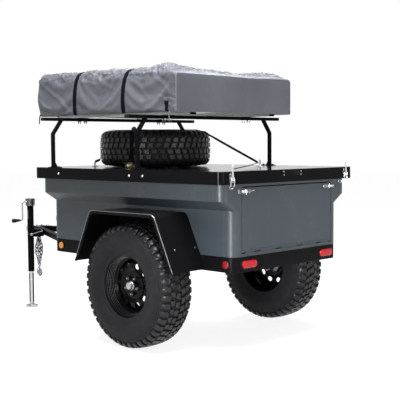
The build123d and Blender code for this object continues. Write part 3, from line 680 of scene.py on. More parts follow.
def top_height(u, y):
    """Height of the cover's top above its rear crease."""
    h = 0.041 * ease(u, -0.276, -0.135) + 0.012 * ease(u, 0.0, 0.4) + 0.006 * ease(u, 0.85, 1.0)
    h += 0.010 * math.exp(-((y - 0.47) / 0.16) ** 2) * ease(u, -0.28, -0.14)
    h += 0.026 * hill(u, y, -0.085, 0.49, 0.085, 0.085)
    h += 0.013 * hill(u, y, -0.100, -0.46, 0.18, 0.13) - 0.012 * hill(u, y, -0.13, -0.12, 0.13, 0.17)
    h += 0.006 * math.sin(u * 6.1 + 0.8) * math.cos(y * 4.4) * ease(u, 0.0, 0.3)
    h -= 0.006 * sum(math.exp(-((u + AX - strap_u(i, 1.9)) / 0.05) ** 2) for i in range(2))
    return h


def cover_grid(step, grow):
    """Open-bottomed bag of quads: verts, faces, and each vertex's row from the foot and side."""
    x0, x1, y = TX0 - grow, TX1 + grow, TY + grow
    z0, z1 = TZ0, TZ1 + grow
    nx, ny, nz = (max(2, round(d / step)) for d in (x1 - x0, 2 * y, z1 - z0))
    index, verts, faces = {}, [], []

    def vid(i, j, k):
        key = (i, j, k)
        if key not in index:
            index[key] = len(verts)
            verts.append((x0 + (x1 - x0) * i / nx, -y + 2 * y * j / ny, z0 + (z1 - z0) * k / nz))
        return index[key]

    for i in range(nx):
        for j in range(ny):
            faces.append([vid(i, j, nz), vid(i + 1, j, nz), vid(i + 1, j + 1, nz), vid(i, j + 1, nz)])
    for k in range(nz):
        for i in range(nx):
            faces.append([vid(i, 0, k), vid(i + 1, 0, k), vid(i + 1, 0, k + 1), vid(i, 0, k + 1)])
            faces.append([vid(i + 1, ny, k), vid(i, ny, k), vid(i, ny, k + 1), vid(i + 1, ny, k + 1)])
        for j in range(ny):
            faces.append([vid(0, j + 1, k), vid(0, j, k), vid(0, j, k + 1), vid(0, j + 1, k + 1)])
            faces.append([vid(nx, j, k), vid(nx, j + 1, k), vid(nx, j + 1, k + 1), vid(nx, j, k + 1)])
    keys = {n: key for key, n in index.items()}
    out = []
    for n, p in enumerate(verts):
        p = Vector(p)
        u = p.x - AX
        soft = ease(u, -0.276, -0.10) * (1.0 - 0.55 * ease(u, 1.02, 1.20))
        ry, rz = 0.008 + 0.056 * soft, 0.007 + 0.052 * soft
        rr, rf = 0.006, 0.026
        q = Vector((min(max(p.x, x0 + rr), x1 - rf), min(max(p.y, -y + ry), y - ry), min(p.z, z1 - rz)))
        d = p - q
        dn = Vector((d.x / (rr if d.x < 0 else rf), d.y / ry, d.z / rz))
        if dn.length > 1.0:
            p = q + d / dn.length
        t = min(1.0, max(0.0, (p.z - z0) / (z1 - z0)))
        p.z += top_height(u, p.y) * t ** 2.5
        out.append(p)
    return out, faces, keys, (nx, ny, nz)


def make_obj(name, verts, faces, mat=None):
    me = bpy.data.meshes.new(name)
    me.from_pydata([tuple(p) for p in verts], [], faces)
    me.shade_smooth()
    if mat:
        me.materials.append(mat)
    o = bpy.data.objects.new(name, me)
    bpy.context.scene.collection.objects.link(o)
    return o


def near_strap(x, z):
    return min(abs(x - strap_u(i, z)) for i in range(2))


def tent_cover():
    core_v, core_f, _, _ = cover_grid(0.03, -0.007)
    verts, faces, keys, (nx, ny, nz) = cover_grid(0.0135, 0.0)
    pinned = {}
    for n, p in enumerate(verts):
        i, j, k = keys[n]
        hold = 0.4 * max(0.0, 1.0 - near_strap(p.x, p.z) / 0.030) if 0 < i < nx else 0.0
        if k == 0 or i == 0:
            hold = 1.0
        pinned[n] = hold
        if hold < 0.5:
            # the bag stands out between its straps, most of all at half height
            t = min(1.0, max(0.0, (p.z - TZ0) / (TZ1 - TZ0)))
            w = 0.016 * math.sin(math.pi * min(1.0, t * 0.95 + 0.05)) ** 0.8 + noise.noise(p * 3.1) * 0.008 + noise.noise(p * 9.0 + Vector((3, 1, 7))) * 0.004
            w *= ease(p.x - TX0, 0.0, 0.10)
            if k < nz:
                verts[n] = p + Vector((0 if i < nx else w, (w if j == ny else -w) if j in (0, ny) else 0, 0))
            else:
                verts[n] = p + Vector((0, 0, noise.noise(p * 6.0) * 0.004 * ease(p.x - TX0, 0.0, 0.10)))
    cloth = make_obj("tent_cover_fabric", verts, faces, M_FABRIC)
    core = make_obj("tent_core_tmp", core_v, core_f)
    core.modifiers.new("c", "COLLISION")
    core.collision.thickness_outer = 0.003
    core.collision.cloth_friction = 12.0
    g = cloth.vertex_groups.new(name="held")
    for n, h in pinned.items():
        if h > 0.05:
            g.add([n], h, "REPLACE")
    md = cloth.modifiers.new("cloth", "CLOTH")
    st = md.settings
    st.quality = 6
    st.mass = 0.30
    st.tension_stiffness = 25
    st.compression_stiffness = 25
    st.shear_stiffness = 12
    st.bending_stiffness = 0.5
    st.tension_damping = st.compression_damping = st.shear_damping = 12
    st.bending_damping = 1.2
    st.air_damping = 2.5
    st.vertex_group_mass = "held"
    st.pin_stiffness = 8.0
    st.shrink_min = -0.010
    st.effector_weights.gravity = 0.4
    md.collision_settings.collision_quality = 3
    md.collision_settings.distance_min = 0.003
    md.point_cache.frame_start, md.point_cache.frame_end = 1, 40
    sc = bpy.context.scene
    sc.frame_start, sc.frame_end = 1, 40
    for f in range(1, 41):
        sc.frame_set(f)
    dg = bpy.context.evaluated_depsgraph_get()
    done = bpy.data.meshes.new_from_object(cloth.evaluated_get(dg))
    moved = np.array([q.co[:] for q in done.vertices])
    sc.frame_set(1)
    cloth.modifiers.clear()
    cloth.vertex_groups.clear()
    start = np.array([tuple(p) for p in verts])
    d = moved - start
    ln = np.linalg.norm(d, axis=1, keepdims=True)
    d *= np.minimum(1.0, 0.024 / np.maximum(ln, 1e-9))
    final = start + d
    for q, p in zip(cloth.data.vertices, final):
        q.co = p
    bpy.data.objects.remove(core)
    return cloth


cover = tent_cover()
sub = cover.modifiers.new("smooth", "SUBSURF")
sub.levels = sub.render_levels = 1
dg = bpy.context.evaluated_depsgraph_get()
cover.data = bpy.data.meshes.new_from_object(cover.evaluated_get(dg))
cover.modifiers.clear()

# folds pressed into the cloth: (from, to) along the trailer and up, half width, height
FOLDS_LEFT = [
    ((1.225, 1.850), (0.810, 1.598), 0.016, 0.0090), ((1.205, 1.690), (1.000, 1.588), 0.011, 0.0075), ((1.120, 1.860), (0.900, 1.770), 0.018, 0.0060),
    ((0.725, 1.835), (0.500, 1.640), 0.020, 0.0060), ((0.665, 1.815), (0.520, 1.785), 0.009, 0.0065), ((0.560, 1.845), (0.330, 1.730), 0.016, 0.0050),
    ((0.300, 1.835), (0.440, 1.660), 0.018, 0.0055), ((0.180, 1.825), (-0.040, 1.660), 0.018, 0.0060), ((0.100, 1.808), (0.010, 1.790), 0.008, 0.0060),
    ((-0.030, 1.850), (-0.230, 1.700), 0.016, 0.0060), ((-0.120, 1.690), (-0.265, 1.600), 0.010, 0.0060), ((-0.150, 1.655), (-0.270, 1.660), 0.007, 0.0055),
]
FOLDS_RIGHT = [
    ((1.215, 1.845), (0.850, 1.610), 0.018, 0.0085), ((0.700, 1.830), (0.460, 1.620), 0.018, 0.0065), ((0.300, 1.835), (0.520, 1.690), 0.015, 0.0060),
    ((0.150, 1.820), (-0.100, 1.640), 0.018, 0.0065), ((-0.060, 1.840), (-0.230, 1.730), 0.012, 0.0055), ((1.160, 1.700), (0.980, 1.590), 0.010, 0.0070),
]
FOLDS_FRONT = [((0.560, 1.840), (0.180, 1.610), 0.018, 0.0080), ((-0.540, 1.840), (-0.150, 1.620), 0.018, 0.0080), ((0.100, 1.850), (-0.020, 1.690), 0.014, 0.0060), ((0.480, 1.640), (0.250, 1.590), 0.010, 0.0060)]


def fold(a, z, lines):
    h = 0.0
    for (a0, z0), (a1, z1), w, amp in lines:
        dx, dz = a1 - a0, z1 - z0
        ll = dx * dx + dz * dz
        t = ((a - a0) * dx + (z - z0) * dz) / ll
        if t < -0.15 or t > 1.15:
            continue
        s = ((a - a0) * dz - (z - z0) * dx) / math.sqrt(ll)
        s += 0.006 * math.sin(t * 9.0 + a0 * 40)
        fade = ease(t, -0.15, 0.12) * (1.0 - ease(t, 0.80, 1.15))
        # a ridge with a hollow along one side of it
        h += 0.62 * amp * fade * (math.exp(-(s / w) ** 2) - 0.55 * math.exp(-((s - 1.7 * w) / (1.2 * w)) ** 2))
    return h


def ridge(p, f, shift):
    q = p * f + Vector(shift)
    q += Vector((noise.noise(q * 0.7), noise.noise(q * 0.7 + Vector((5, 2, 9))), noise.noise(q * 0.7 + Vector((1, 8, 4))))) * 0.5
    return (1.0 - abs(noise.noise(q))) ** 3


def crumple(me):
    normals = [v.normal.copy() for v in me.vertices]
    for v, n in zip(me.vertices, normals):
        p = v.co.copy()
        u = p.x - AX
        rear = 1.0 - ease(p.x, TX0 + 0.004, TX0 + 0.016)
        clear = ease(near_strap(p.x, p.z), 0.018, 0.060)
        foot = ease(p.z, TZ0, TZ0 + 0.030)
        on_side = 1.0 - ease(abs(n.z), 0.35, 0.75)
        d = 0.0
        if rear < 0.5:
            if abs(n.y) > 0.5:
                d += fold(u, p.z, FOLDS_LEFT if n.y > 0 else FOLDS_RIGHT) * on_side * foot
            elif n.x > 0.5:
                d += fold(p.y, p.z, FOLDS_FRONT) * on_side * foot
            # fine crumples along the upper edges and over the top
            edge = ease(p.z, 1.775, 1.845)
            away = ease(p.x, TX0 + 0.03, TX0 + 0.12)
            d += (0.0110 * (ridge(p, 14.0, (3, 7, 1)) - 0.38) + 0.0074 * (ridge(p, 31.0, (9, 2, 5)) - 0.38)) * edge * (0.25 + 0.75 * away)
            d += 0.0030 * (ridge(p, 7.0, (1, 4, 8)) - 0.38) * (1 - edge) * foot
            # gathered cloth at the rear corners
            corner = (1.0 - ease(p.x, TX0 + 0.01, TX0 + 0.085)) * (1.0 - ease(p.z, 1.64, 1.72)) * on_side
            d += 0.0090 * (ridge(p, 27.0, (2, 5, 3)) - 0.35) * corner * foot
            d += 0.0060 * (ridge(p, 24.0, (6, 1, 2)) - 0.35) * (1.0 - ease(p.x, TX0 + 0.008, TX0 + 0.04)) * on_side * foot
        else:
            # the flat end panel only ripples a little
            d += 0.0022 * noise.noise(p * 4.0) * ease(p.z, TZ0, 1.62) * (1.0 - ease(p.z, 1.79, 1.825)) * (1.0 - ease(abs(p.y), 0.50, 0.58))
        v.co = p + n * d * (clear if rear < 0.5 else 1.0)


crumple(cover.data)
cover.data.shade_smooth()
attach(cover, "lid")
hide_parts("tent_cover")

bm = bmesh.new()
bm.from_mesh(cover.data)
COVER_TREE = BVHTree.FromBMesh(bm)
bm.free()


def on_cover(p, d, lift):
    """The point on the cover hit from p along d, lifted off it."""
    hit, nrm, _, _ = COVER_TREE.ray_cast(Vector(p), Vector(d).normalized())
    if hit is None:
        hit, nrm, _, _ = COVER_TREE.find_nearest(Vector(p))
    return hit - Vector(d).normalized() * lift


def hull(points):
    """Convex outline of points in a plane, anticlockwise."""
    pts = sorted(set(points))

    def half(seq):
        out = []
        for q in seq:
            while len(out) > 1 and (out[-1][0] - out[-2][0]) * (q[1] - out[-2][1]) - (out[-1][1] - out[-2][1]) * (q[0] - out[-2][0]) <= 0:
                out.pop()
            out.append(q)
        return out[:-1]

    return half(pts) + half(pts[::-1])


def strap_over(i, width=0.036, lift=0.0012, thick=0.0024):
    """Taut webbing over the cover, from its left foot over the top to its right foot."""
    ring = [(TY + 0.001, TZ0 + 0.002), (-TY - 0.001, TZ0 + 0.002)]
    for k in range(220):
        a = math.radians(-25 + 230 * k / 219)
        far = Vector((0, math.cos(a) * 1.6, math.sin(a) * 1.6))
        mid = Vector((strap_u(i, 1.72), 0, 1.70))
        best = None
        for off in (-0.5, -0.25, 0.0, 0.25, 0.5):
            hit, _, _, _ = COVER_TREE.ray_cast(mid + far + Vector((off * width, 0, 0)), -far.normalized())
            if hit is not None and hit.z > TZ0 + 0.002:
                r = math.hypot(hit.y, hit.z - 1.70)
                if best is None or r > best[0]:
                    best = (r, hit.y, hit.z)
        if best:
            ring.append((best[1], best[2]))
    out = hull(ring)
    first = min(range(len(out)), key=lambda n: (out[n][0] - TY) ** 2 + (out[n][1] - TZ0) ** 2)
    out = out[first:] + out[:first]
    path = []
    for (y0, z0), (y1, z1) in zip(out, out[1:]):
        n = max(1, int(math.hypot(y1 - y0, z1 - z0) / 0.012))
        path += [(y0 + (y1 - y0) * k / n, z0 + (z1 - z0) * k / n) for k in range(n)]
    path.append(out[-1])
    for _ in range(2):
        path = [path[0]] + [tuple((a[j] + 2 * b[j] + c[j]) / 4 for j in (0, 1)) for a, b, c in zip(path, path[1:], path[2:])] + [path[-1]]
    v = []
    for k, (y, z) in enumerate(path):
        (ya, za), (yb, zb) = path[max(0, k - 1)], path[min(len(path) - 1, k + 1)]
        n = Vector((0, zb - za, ya - yb)).normalized()
        c = Vector((strap_u(i, z), y, z)) + n * lift
        a = Vector((width / 2, 0, 0))
        v += [c - a, c - a + n * thick, c + n * thick * 1.2, c + a + n * thick, c + a, c]
    return Acc().add(v, ring_faces(len(path), 6))


for i in range(2):
    strap_over(i).obj("tent_strap_%d" % (i + 1), M_WEB, "lid")

# ------------------------------------------------------------------ rounded copies of plain steel pieces
def T(x, y, z):
    return Matrix.Translation((x, y, z))


def weighted(o):
    md = o.modifiers.new("normals", "WEIGHTED_NORMAL")
    md.keep_sharp = True
    g = bpy.context.evaluated_depsgraph_get()
    o.data = bpy.data.meshes.new_from_object(o.evaluated_get(g))
    o.modifiers.clear()


def rounded(node, width, segments=2, angle=28):
    """A copy of a node with its hard edges rounded off, standing for the node."""
    src = NODES[node]
    bm = bmesh.new()
    bm.from_mesh(src.data)
    bmesh.ops.remove_doubles(bm, verts=bm.verts, dist=2e-6)
    bmesh.ops.dissolve_limit(bm, angle_limit=math.radians(0.6), verts=bm.verts, edges=bm.edges, delimit=set())
    es = [e for e in bm.edges if len(e.link_faces) == 2 and e.calc_face_angle(0) > math.radians(angle)]
    bmesh.ops.bevel(bm, geom=es, offset=width, offset_type="OFFSET", segments=segments, affect="EDGES", profile=0.5, clamp_overlap=True)
    bmesh.ops.triangulate(bm, faces=[f for f in bm.faces if len(f.verts) > 4])
    me = bpy.data.meshes.new(node + "_rounded")
    bm.to_mesh(me)
    bm.free()
    me.shade_smooth()
    me.set_sharp_from_angle(angle=math.radians(50))
    me.materials.append(src.data.materials[0])
    o = bpy.data.objects.new(node + "_rounded", me)
    bpy.context.scene.collection.objects.link(o)
    weighted(o)
    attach(o, BODY_OF[node])
    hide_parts(node)
    return o


BODY_OF = {n: b for b, ns in frame["record"]["behaviour"]["bodies"].items() for n in ns}
for node in ("left_tongue_rail", "right_tongue_rail", "tongue_nose", "jack_housing", "rack_legs", "rack_bars"):
    NODES[node].data.materials[0] = M_SATIN
for node, width in (
    ("lid", 0.0035), ("rear_bumper", 0.004), ("front_member", 0.004), ("left_frame_rail", 0.003), ("right_frame_rail", 0.003),
    ("left_fender", 0.0016), ("right_fender", 0.0016), ("rack_legs", 0.004), ("rack_bars", 0.004), ("left_tongue_rail", 0.005),
    ("right_tongue_rail", 0.005), ("tongue_nose", 0.006), ("towing_eye", 0.006), ("tailgate", 0.0028), ("tent_rails", 0.002),
    ("crossmembers", 0.002), ("jack_housing", 0.003), ("axle_tube", 0.003), ("trailing_arms", 0.004),
):
    rounded(node, width)


def soft_block(size, b=0.0015, segments=2):
    bm = bmesh.new()
    bmesh.ops.create_cube(bm, size=1.0)
    bmesh.ops.scale(bm, vec=size, verts=bm.verts)
    bmesh.ops.bevel(bm, geom=list(bm.edges), offset=min(b, min(size) * 0.45), segments=segments, affect="EDGES", profile=0.5)
    bm.verts.index_update()
    out = [v.co.copy() for v in bm.verts], [[v.index for v in f.verts] for f in bm.faces]
    bm.free()
    return out


def plate(poly, thick, b=0.0008):
    """Flat plate cut to poly in local XY, from Z = 0 up to thick, with eased edges."""
    bm = bmesh.new()
    f = bm.faces.new([bm.verts.new((x, y, 0.0)) for x, y in poly])
    top = bmesh.ops.extrude_face_region(bm, geom=[f])
    bmesh.ops.translate(bm, vec=(0, 0, thick), verts=[g for g in top["geom"] if isinstance(g, bmesh.types.BMVert)])
    es = [e for e in bm.edges if len(e.link_faces) == 2 and e.calc_face_angle(0) > 0.9]
    bmesh.ops.bevel(bm, geom=es, offset=min(b, thick * 0.4), segments=2, affect="EDGES", profile=0.5, clamp_overlap=True)
    bm.verts.index_update()
    out = [v.co.copy() for v in bm.verts], [[v.index for v in f.verts] for f in bm.faces]
    bm.free()
    return out


def round_rect(w, h, r, n=6):
    pts = []
    for cx, cy, a0 in ((w / 2 - r, h / 2 - r, 0), (-w / 2 + r, h / 2 - r, 90), (-w / 2 + r, -h / 2 + r, 180), (w / 2 - r, -h / 2 + r, 270)):
        for k in range(n + 1):
            a = math.radians(a0 + 90 * k / n)
            pts.append((cx + r * math.cos(a), cy + r * math.sin(a)))
    return pts


def dome(w, h, r, steps):
    """Lens: rounded-rectangle rings drawn in and up by each (inset, height) step."""
    v, n = [], None
    for inset, z in steps:
        ring = round_rect(w - 2 * inset, h - 2 * inset, max(0.001, r - inset), 7)
        n = len(ring)
        v += [(x, y, z) for x, y in ring]
    return v, ring_faces(len(steps), n)


def ribbon(points, normals, width, thick):
    """Flat strap along points, lying on the side that normals point away from."""
    pts = [Vector(p) for p in points]
    v = []
    for i, p in enumerate(pts):
        t = (pts[min(i + 1, len(pts) - 1)] - pts[max(i - 1, 0)]).normalized()
        n = Vector(normals[i])
        n = (n - t * n.dot(t)).normalized()
        a = t.cross(n) * (width / 2)
        v += [p - a, p - a + n * thick, p + n * thick * 1.12, p + a + n * thick, p + a, p]
    return v, ring_faces(len(pts), 6)


# ------------------------------------------------------------------ lights
TUB_REAR, LID_REAR = AX - 0.734, AX - 0.762
OUT_REAR = (-1, 0, 0)
lens_acc, bezel = Acc(), Acc()
for y in (0.408, -0.408):
    m = frame_at((TUB_REAR, y, 0.596), OUT_REAR)
    lens_acc.add(*dome(0.140, 0.048, 0.0238, [(0, 0.0), (0, 0.0085), (0.0012, 0.0108), (0.004, 0.0125), (0.009, 0.0135), (0.017, 0.0139)]), m)
    ring = [m @ Vector((x, yy, 0.0022)) for x, yy in round_rect(0.146, 0.054, 0.0268, 8)]
    bezel.add(*tube(ring, 0.0046, 8, closed=True))
lens_acc.obj("tail_light_lenses", M_RED, "chassis", "red_lens", ["tail_lights"])
for name, mat, slot, u in (("red_marker_lenses", M_RED_DIM, "red_lens", -0.668), ("amber_marker_lenses", M_AMBER, "amber_lens", 1.024)):
    a = Acc()
    for s in (1, -1):
        m = frame_at((AX + u, s * 0.552, 0.597), (0, s, 0))
        a.add(*turned([(0.0250, 0.0), (0.0250, 0.007), (0.0240, 0.0098), (0.0195, 0.0122), (0.0125, 0.0135), (0.006, 0.0139), (0.001, 0.0139)], 40), m)
        ring = [m @ Vector((0.0238 * math.cos(t * math.pi / 20), 0.0238 * math.sin(t * math.pi / 20), 0.002)) for t in range(40)]
        bezel.add(*tube(ring, 0.0038, 8, closed=True))
    a.obj(name, mat, "chassis", slot, [name.replace("_lenses", "s")])
bezel.obj("light_grommets", M_GRIP, "chassis", "black_paint")

# ------------------------------------------------------------------ latches
def lid_latch(s):
    m = frame_at((LID_REAR, s * 0.602, 1.152), OUT_REAR)
    a, back = Acc(), Acc()
    back.add(*plate(round_rect(0.034, 0.066, 0.006), 0.0024), m)
    for x in (-0.011, 0.011):
        for y in (-0.026, 0.022):
            v, f = turned([(0.0036, 0.0), (0.0034, 0.0012), (0.0022, 0.0022), (0.0004, 0.0025)], 12)
            a.add(v, f, m @ T(x, y, 0.0024))
    for x in (-0.0125, 0.0125):
        ear = [(-0.020, 0.0), (0.016, 0.0), (0.012, 0.009), (-0.008, 0.0125), (-0.018, 0.0105)]
        v, f = plate(ear, 0.002)
        # ears stand on edge: local x runs up, local y runs out
        e = Matrix(((0, 0, 1, x - 0.001), (1, 0, 0, -0.004), (0, 1, 0, 0.0024), (0, 0, 0, 1)))
        a.add(v, f, m @ e)
    # over-centre lever, curled outward above the lid
    path = [(0, -0.018, 0.0100), (0, 0.000, 0.0112), (0, 0.026, 0.0100), (0, 0.052, 0.0076), (0, 0.070, 0.0078), (0, 0.080, 0.0100), (0, 0.0850, 0.0140)]
    v, f = ribbon(path, [(0, 0, 1)] * len(path), 0.0150, 0.0020)
    a.add(v, f, m)
    v, f = tube([m @ Vector((x, -0.014, 0.0100)) for x in (-0.0185, -0.006, 0.006, 0.0185)], 0.0030, 12)
    a.add(v, f)
    # wire bail that hangs from the lever
    lean = s * 0.018
    bail = bend([(-0.0165, -0.014, 0.0105), (-0.0168, -0.047, 0.0092), (lean - 0.0105, -0.0670, -0.0145), (lean + 0.0105, -0.0670, -0.0145), (0.0168, -0.047, 0.0092), (0.0165, -0.014, 0.0105)], 0.010, 5)
    v, f = tube([m @ p for p in bail], 0.0025, 10)
    a.add(v, f)
    return a, back


both, backs = Acc(), Acc()
for s in (1, -1):
    a, back = lid_latch(s)
    both.add(a.v, a.f)
    backs.add(back.v, back.f)
both.obj("lid_latches", M_CHROME, "lid", "chrome_trim", ["lid_latch_hooks"])
backs.obj("lid_latch_plates", M_NUT, "lid", "chrome_trim")

keep = Acc()
for s in (1, -1):
    m = frame_at((TUB_REAR, s * 0.578, 1.090), OUT_REAR)
    keep.add(*plate(round_rect(0.024, 0.026, 0.004), 0.0022), m)
    path = [(0, 0.004, 0.0020), (0, 0.002, 0.0062), (0, -0.003, 0.0088), (0, -0.009, 0.0080), (0, -0.0115, 0.0050)]
    keep.add(*ribbon(path, [(0, 1, 1), (0, 1, 1), (0, 0, 1), (0, -1, 1), (0, -1, 0)], 0.014, 0.0022), m)
    for x in (-0.008, 0.008):
        keep.add(*turned([(0.0030, 0.0), (0.0028, 0.0010), (0.0016, 0.0018), (0.0003, 0.002)], 12), m @ T(x, 0.008, 0.0022))
    m = frame_at((TUB_REAR, s * 0.496, 1.062), OUT_REAR)
    keep.add(*plate(round_rect(0.025, 0.027, 0.004), 0.0022), m)
    for y in (-0.009, 0.009):
        keep.add(*turned([(0.0032, 0.0), (0.0030, 0.0011), (0.0018, 0.002), (0.0003, 0.0022)], 12), m @ T(-s * 0.007, y, 0.0022))
    loop = bend([(s * 0.0095, -0.008, 0.001), (s * 0.0095, -0.008, 0.0095), (s * 0.0095, 0.008, 0.0095), (s * 0.0095, 0.008, 0.001)], 0.004, 4)
    keep.add(*tube([m @ p for p in loop], 0.0022, 10))
keep.obj("latch_keeper_hooks", M_LUG, "chassis", "chrome_trim", ["latch_keepers"])

gate, gate_back = Acc(), Acc()
for s in (1, -1):
    m = frame_at((TUB_REAR, s * 0.430, 1.062), OUT_REAR)
    o = -s      # local x that points to the near side edge
    gate_back.add(*plate(round_rect(0.072, 0.027, 0.004), 0.0022), m)
    for x in (-0.029, 0.029):
        for y in (-0.009, 0.009):
            gate.add(*turned([(0.0032, 0.0), (0.0030, 0.0011), (0.0018, 0.002), (0.0003, 0.0022)], 12), m @ T(x, y, 0.0022))
    gate.add(*soft_block((0.030, 0.0185, 0.0075), 0.002), m @ T(o * 0.012, 0, 0.0055))
    gate.add(*tube([m @ Vector((o * 0.016, y, 0.0098)) for y in (-0.0125, -0.004, 0.004, 0.0125)], 0.0033, 12))
    # draw hook reaching over the gap
    path = [(o * 0.016, 0, 0.0098), (o * 0.034, 0, 0.0106), (o * 0.046, 0, 0.0104), (o * 0.0505, 0, 0.0082)]
    gate.add(*ribbon(path, [(0, 0, 1)] * 4, 0.0125, 0.0026), m)
    # lever rod with a ball end
    rod = bend([(o * 0.010, 0, 0.0098), (-o * 0.016, 0.001, 0.0120), (-o * 0.058, 0.0035, 0.0105)], 0.01, 4)
    gate.add(*tube([m @ p for p in rod], 0.0024, 10))
    gate.add(*turned([(0.0004, -0.0042), (0.0030, -0.0030), (0.0042, 0.0), (0.0030, 0.0030), (0.0004, 0.0042)], 14), m @ T(-o * 0.0585, 0.0035, 0.0105))
gate.obj("tailgate_draw_latches", M_CHROME, "tailgate", "chrome_trim", ["tailgate_latches"])
gate_back.obj("tailgate_latch_plates", M_NUT, "tailgate", "chrome_trim")

# plain cover plate on the lid's rear edge, with its four bolts
pl = Acc()
m = frame_at((LID_REAR, -0.002, 1.1665), OUT_REAR)
pl.add(*plate(round_rect(0.200, 0.036, 0.004), 0.0022), m)
pl.obj("lid_cover_plate", M_BLACK, "lid", "black_paint")
bolts_lid = Acc()
for x in (-0.091, 0.091):
    for y in (-0.011, 0.011):
        bolts_lid.add(*turned([(0.0042, 0.0), (0.0040, 0.0012), (0.0028, 0.0022), (0.0004, 0.0025)], 14), m @ T(x, y, 0.0022))

# ------------------------------------------------------------------ rack feet, bolts and clamps
feet, knobs = Acc(), Acc()
for hx, along in ((AX + 0.930, (-0.078,)), (AX + 0.004, (-0.062, 0.070))):
    for s in (1, -1):
        feet.add(*plate(round_rect(0.120, 0.046, 0.006), 0.0045), T(hx, s * 0.6745, 1.192))
        for du in (-0.045, 0.045):
            hex_bolt(feet, (hx + du, s * 0.672, 1.1965), (0, 0, 1), 0.0070, 0.0055, turn=du * 30)
        for du in along:
            round_head(bolts_lid, (hx + du, s * 0.704, 1.150), (0, s, 0), 0.0085, 0.0055)
        # gusset up the inside of each leg
        g = [(0.0, 0.0), (0.030, 0.0), (0.0, 0.045)]
        v, f = plate(g, 0.004)
        e = Matrix(((0, 0, 1, hx - 0.002), (-s, 0, 0, s * 0.6785), (0, 1, 0, 1.196), (0, 0, 0, 1)))
        feet.add(v, f, e)
feet.obj("rack_feet", M_BLACK, "lid", "black_paint")

clamp = Acc()
caps = Acc()
for hx in (AX + 0.930, AX + 0.004):
    for s in (1, -1):
        caps.add(*soft_block((0.0415, 0.006, 0.0235), 0.003), T(hx, s * 0.7815, 1.548))
        for y in (s * 0.3825, s * 0.4415):
            for dx in (-0.011, 0.011):
                m = frame_at((hx + dx, y, 1.536), (0, 0, -1))
                clamp.add(*turned([(0.0085, 0.0), (0.0085, 0.0016), (0.0065, 0.002)], 16), m)
                clamp.add(*turned([(0.0062, 0.002), (0.0062, 0.0075), (0.0050, 0.0085)], 6), m)
                clamp.add(*turned([(0.0032, 0.008), (0.0032, 0.0185), (0.0024, 0.0195)], 10), m)
        # flat bridge over the tent rail
        clamp.add(*soft_block((0.034, 0.082, 0.0035), 0.001), T(hx, s * 0.412, 1.5615))
        for u in (-0.2475, 1.1955):
            caps.add(*soft_block((0.012, 0.0460, 0.0185), 0.002), T(AX + u, s * 0.412, 1.5685))
caps.obj("rack_end_caps", M_GRIP, "lid", "black_paint")
clamp.obj("tent_clamps", M_NUT, "lid", "bright_steel")

# round knob at the bend of the rear left leg
m = T(AX + 0.004, 0.7035, 1.4455) @ Matrix.Rotation(math.radians(-38), 4, "X")
knobs.add(*turned([(0.005, -0.006), (0.005, 0.012), (0.013, 0.014), (0.0165, 0.020), (0.0165, 0.028), (0.013, 0.034), (0.006, 0.0365), (0.0005, 0.037)], 22), m)
knobs.obj("leg_knob", M_GRIP, "lid", "black_paint")

# ------------------------------------------------------------------ tie-down of the spare wheel
SPARE = Vector((AX + 0.562, 0.0, 1.330))
rings, straps = Acc(), Acc()
EYES = [Vector((AX - 0.229, -0.300, 1.192)), Vector((AX + 0.962, 0.268, 1.192))]
for e, tall in zip(EYES, (0.018, 0.004)):
    rings.add(*plate(round_rect(0.052, 0.030, 0.006), 0.003), T(*e))
    for dx in (-0.018, 0.018):
        rings.add(*turned([(0.0040, 0.0), (0.0038, 0.0012), (0.0026, 0.0022), (0.0004, 0.0025)], 14), T(e.x + dx, e.y, e.z + 0.003))
    to = SPARE - e
    to.z = 0
    to.normalize()
    side = to.cross(Vector((0, 0, 1)))
    # eye bolt with a shank and a collar
    rings.add(*turned([(0.0090, 0.003), (0.0090, 0.007), (0.0055, 0.009), (0.0048, tall + 0.006), (0.0020, tall + 0.006)], 18), T(*e))
    c = e + Vector((0, 0, tall + 0.0185))
    n = (to * 0.25 + Vector((0, 0, 1.0))).normalized()
    rings.add(*tube([c + (side * math.cos(t * math.pi / 14) + n * math.sin(t * math.pi / 14)) * 0.0140 for t in range(28)], 0.0032, 9, closed=True))

# rear strap: on edge as it leaves the eye, turning flat as it comes over the tyre's shoulder
d0 = SPARE - EYES[0]
d0.z = 0
d0.normalize()
across = d0.cross(Vector((0, 0, 1)))
f0 = EYES[0] + Vector((0, 0, 0.032)) + d0 * 0.016
e0 = SPARE - d0 * 0.399 + Vector((0, 0, 0.1205))
t0 = SPARE - d0 * 0.330 + Vector((0, 0, 0.1385))
run = [f0.lerp(e0, k / 8) for k in range(8)] + bend([e0 - (e0 - f0) * 0.02, e0, t0], 0.05, 5)[1:-1] + [t0, t0 + d0 * 0.294]
up = [(p - (SPARE - Vector((0, 0, 0.25)))).normalized() for p in run]
nrm = [(across * -(1 - ease(k, 4, 9)) + q * ease(k, 4, 9)).normalized() for k, q in enumerate(up)]
straps.add(*ribbon(run, nrm, 0.016, 0.0030))
# front strap: low from its eye to the tread, up the tread and over the shoulder
hub = Vector((SPARE.x, SPARE.y, 0))
out = Vector((math.cos(math.radians(39)), math.sin(math.radians(39)), 0))
f1 = EYES[1] + Vector((0, 0, 0.034))
low_hit = hub + out * 0.4225 + Vector((0, 0, 1.245))
run = [f1, f1.lerp(low_hit, 0.5), low_hit, hub + out * 0.4225 + Vector((0, 0, 1.300)), hub + out * 0.4225 + Vector((0, 0, 1.370)),
       hub + out * 0.4190 + Vector((0, 0, 1.420)), hub + out * 0.398 + Vector((0, 0, 1.451)), hub + out * 0.345 + Vector((0, 0, 1.4675)), hub + out * 0.036 + Vector((0, 0, 1.4690))]
run = bend(run, 0.03, 3)
straps.add(*ribbon(run, [(p - (SPARE - Vector((0, 0, 0.12)))).normalized() for p in run], 0.022, 0.0026))
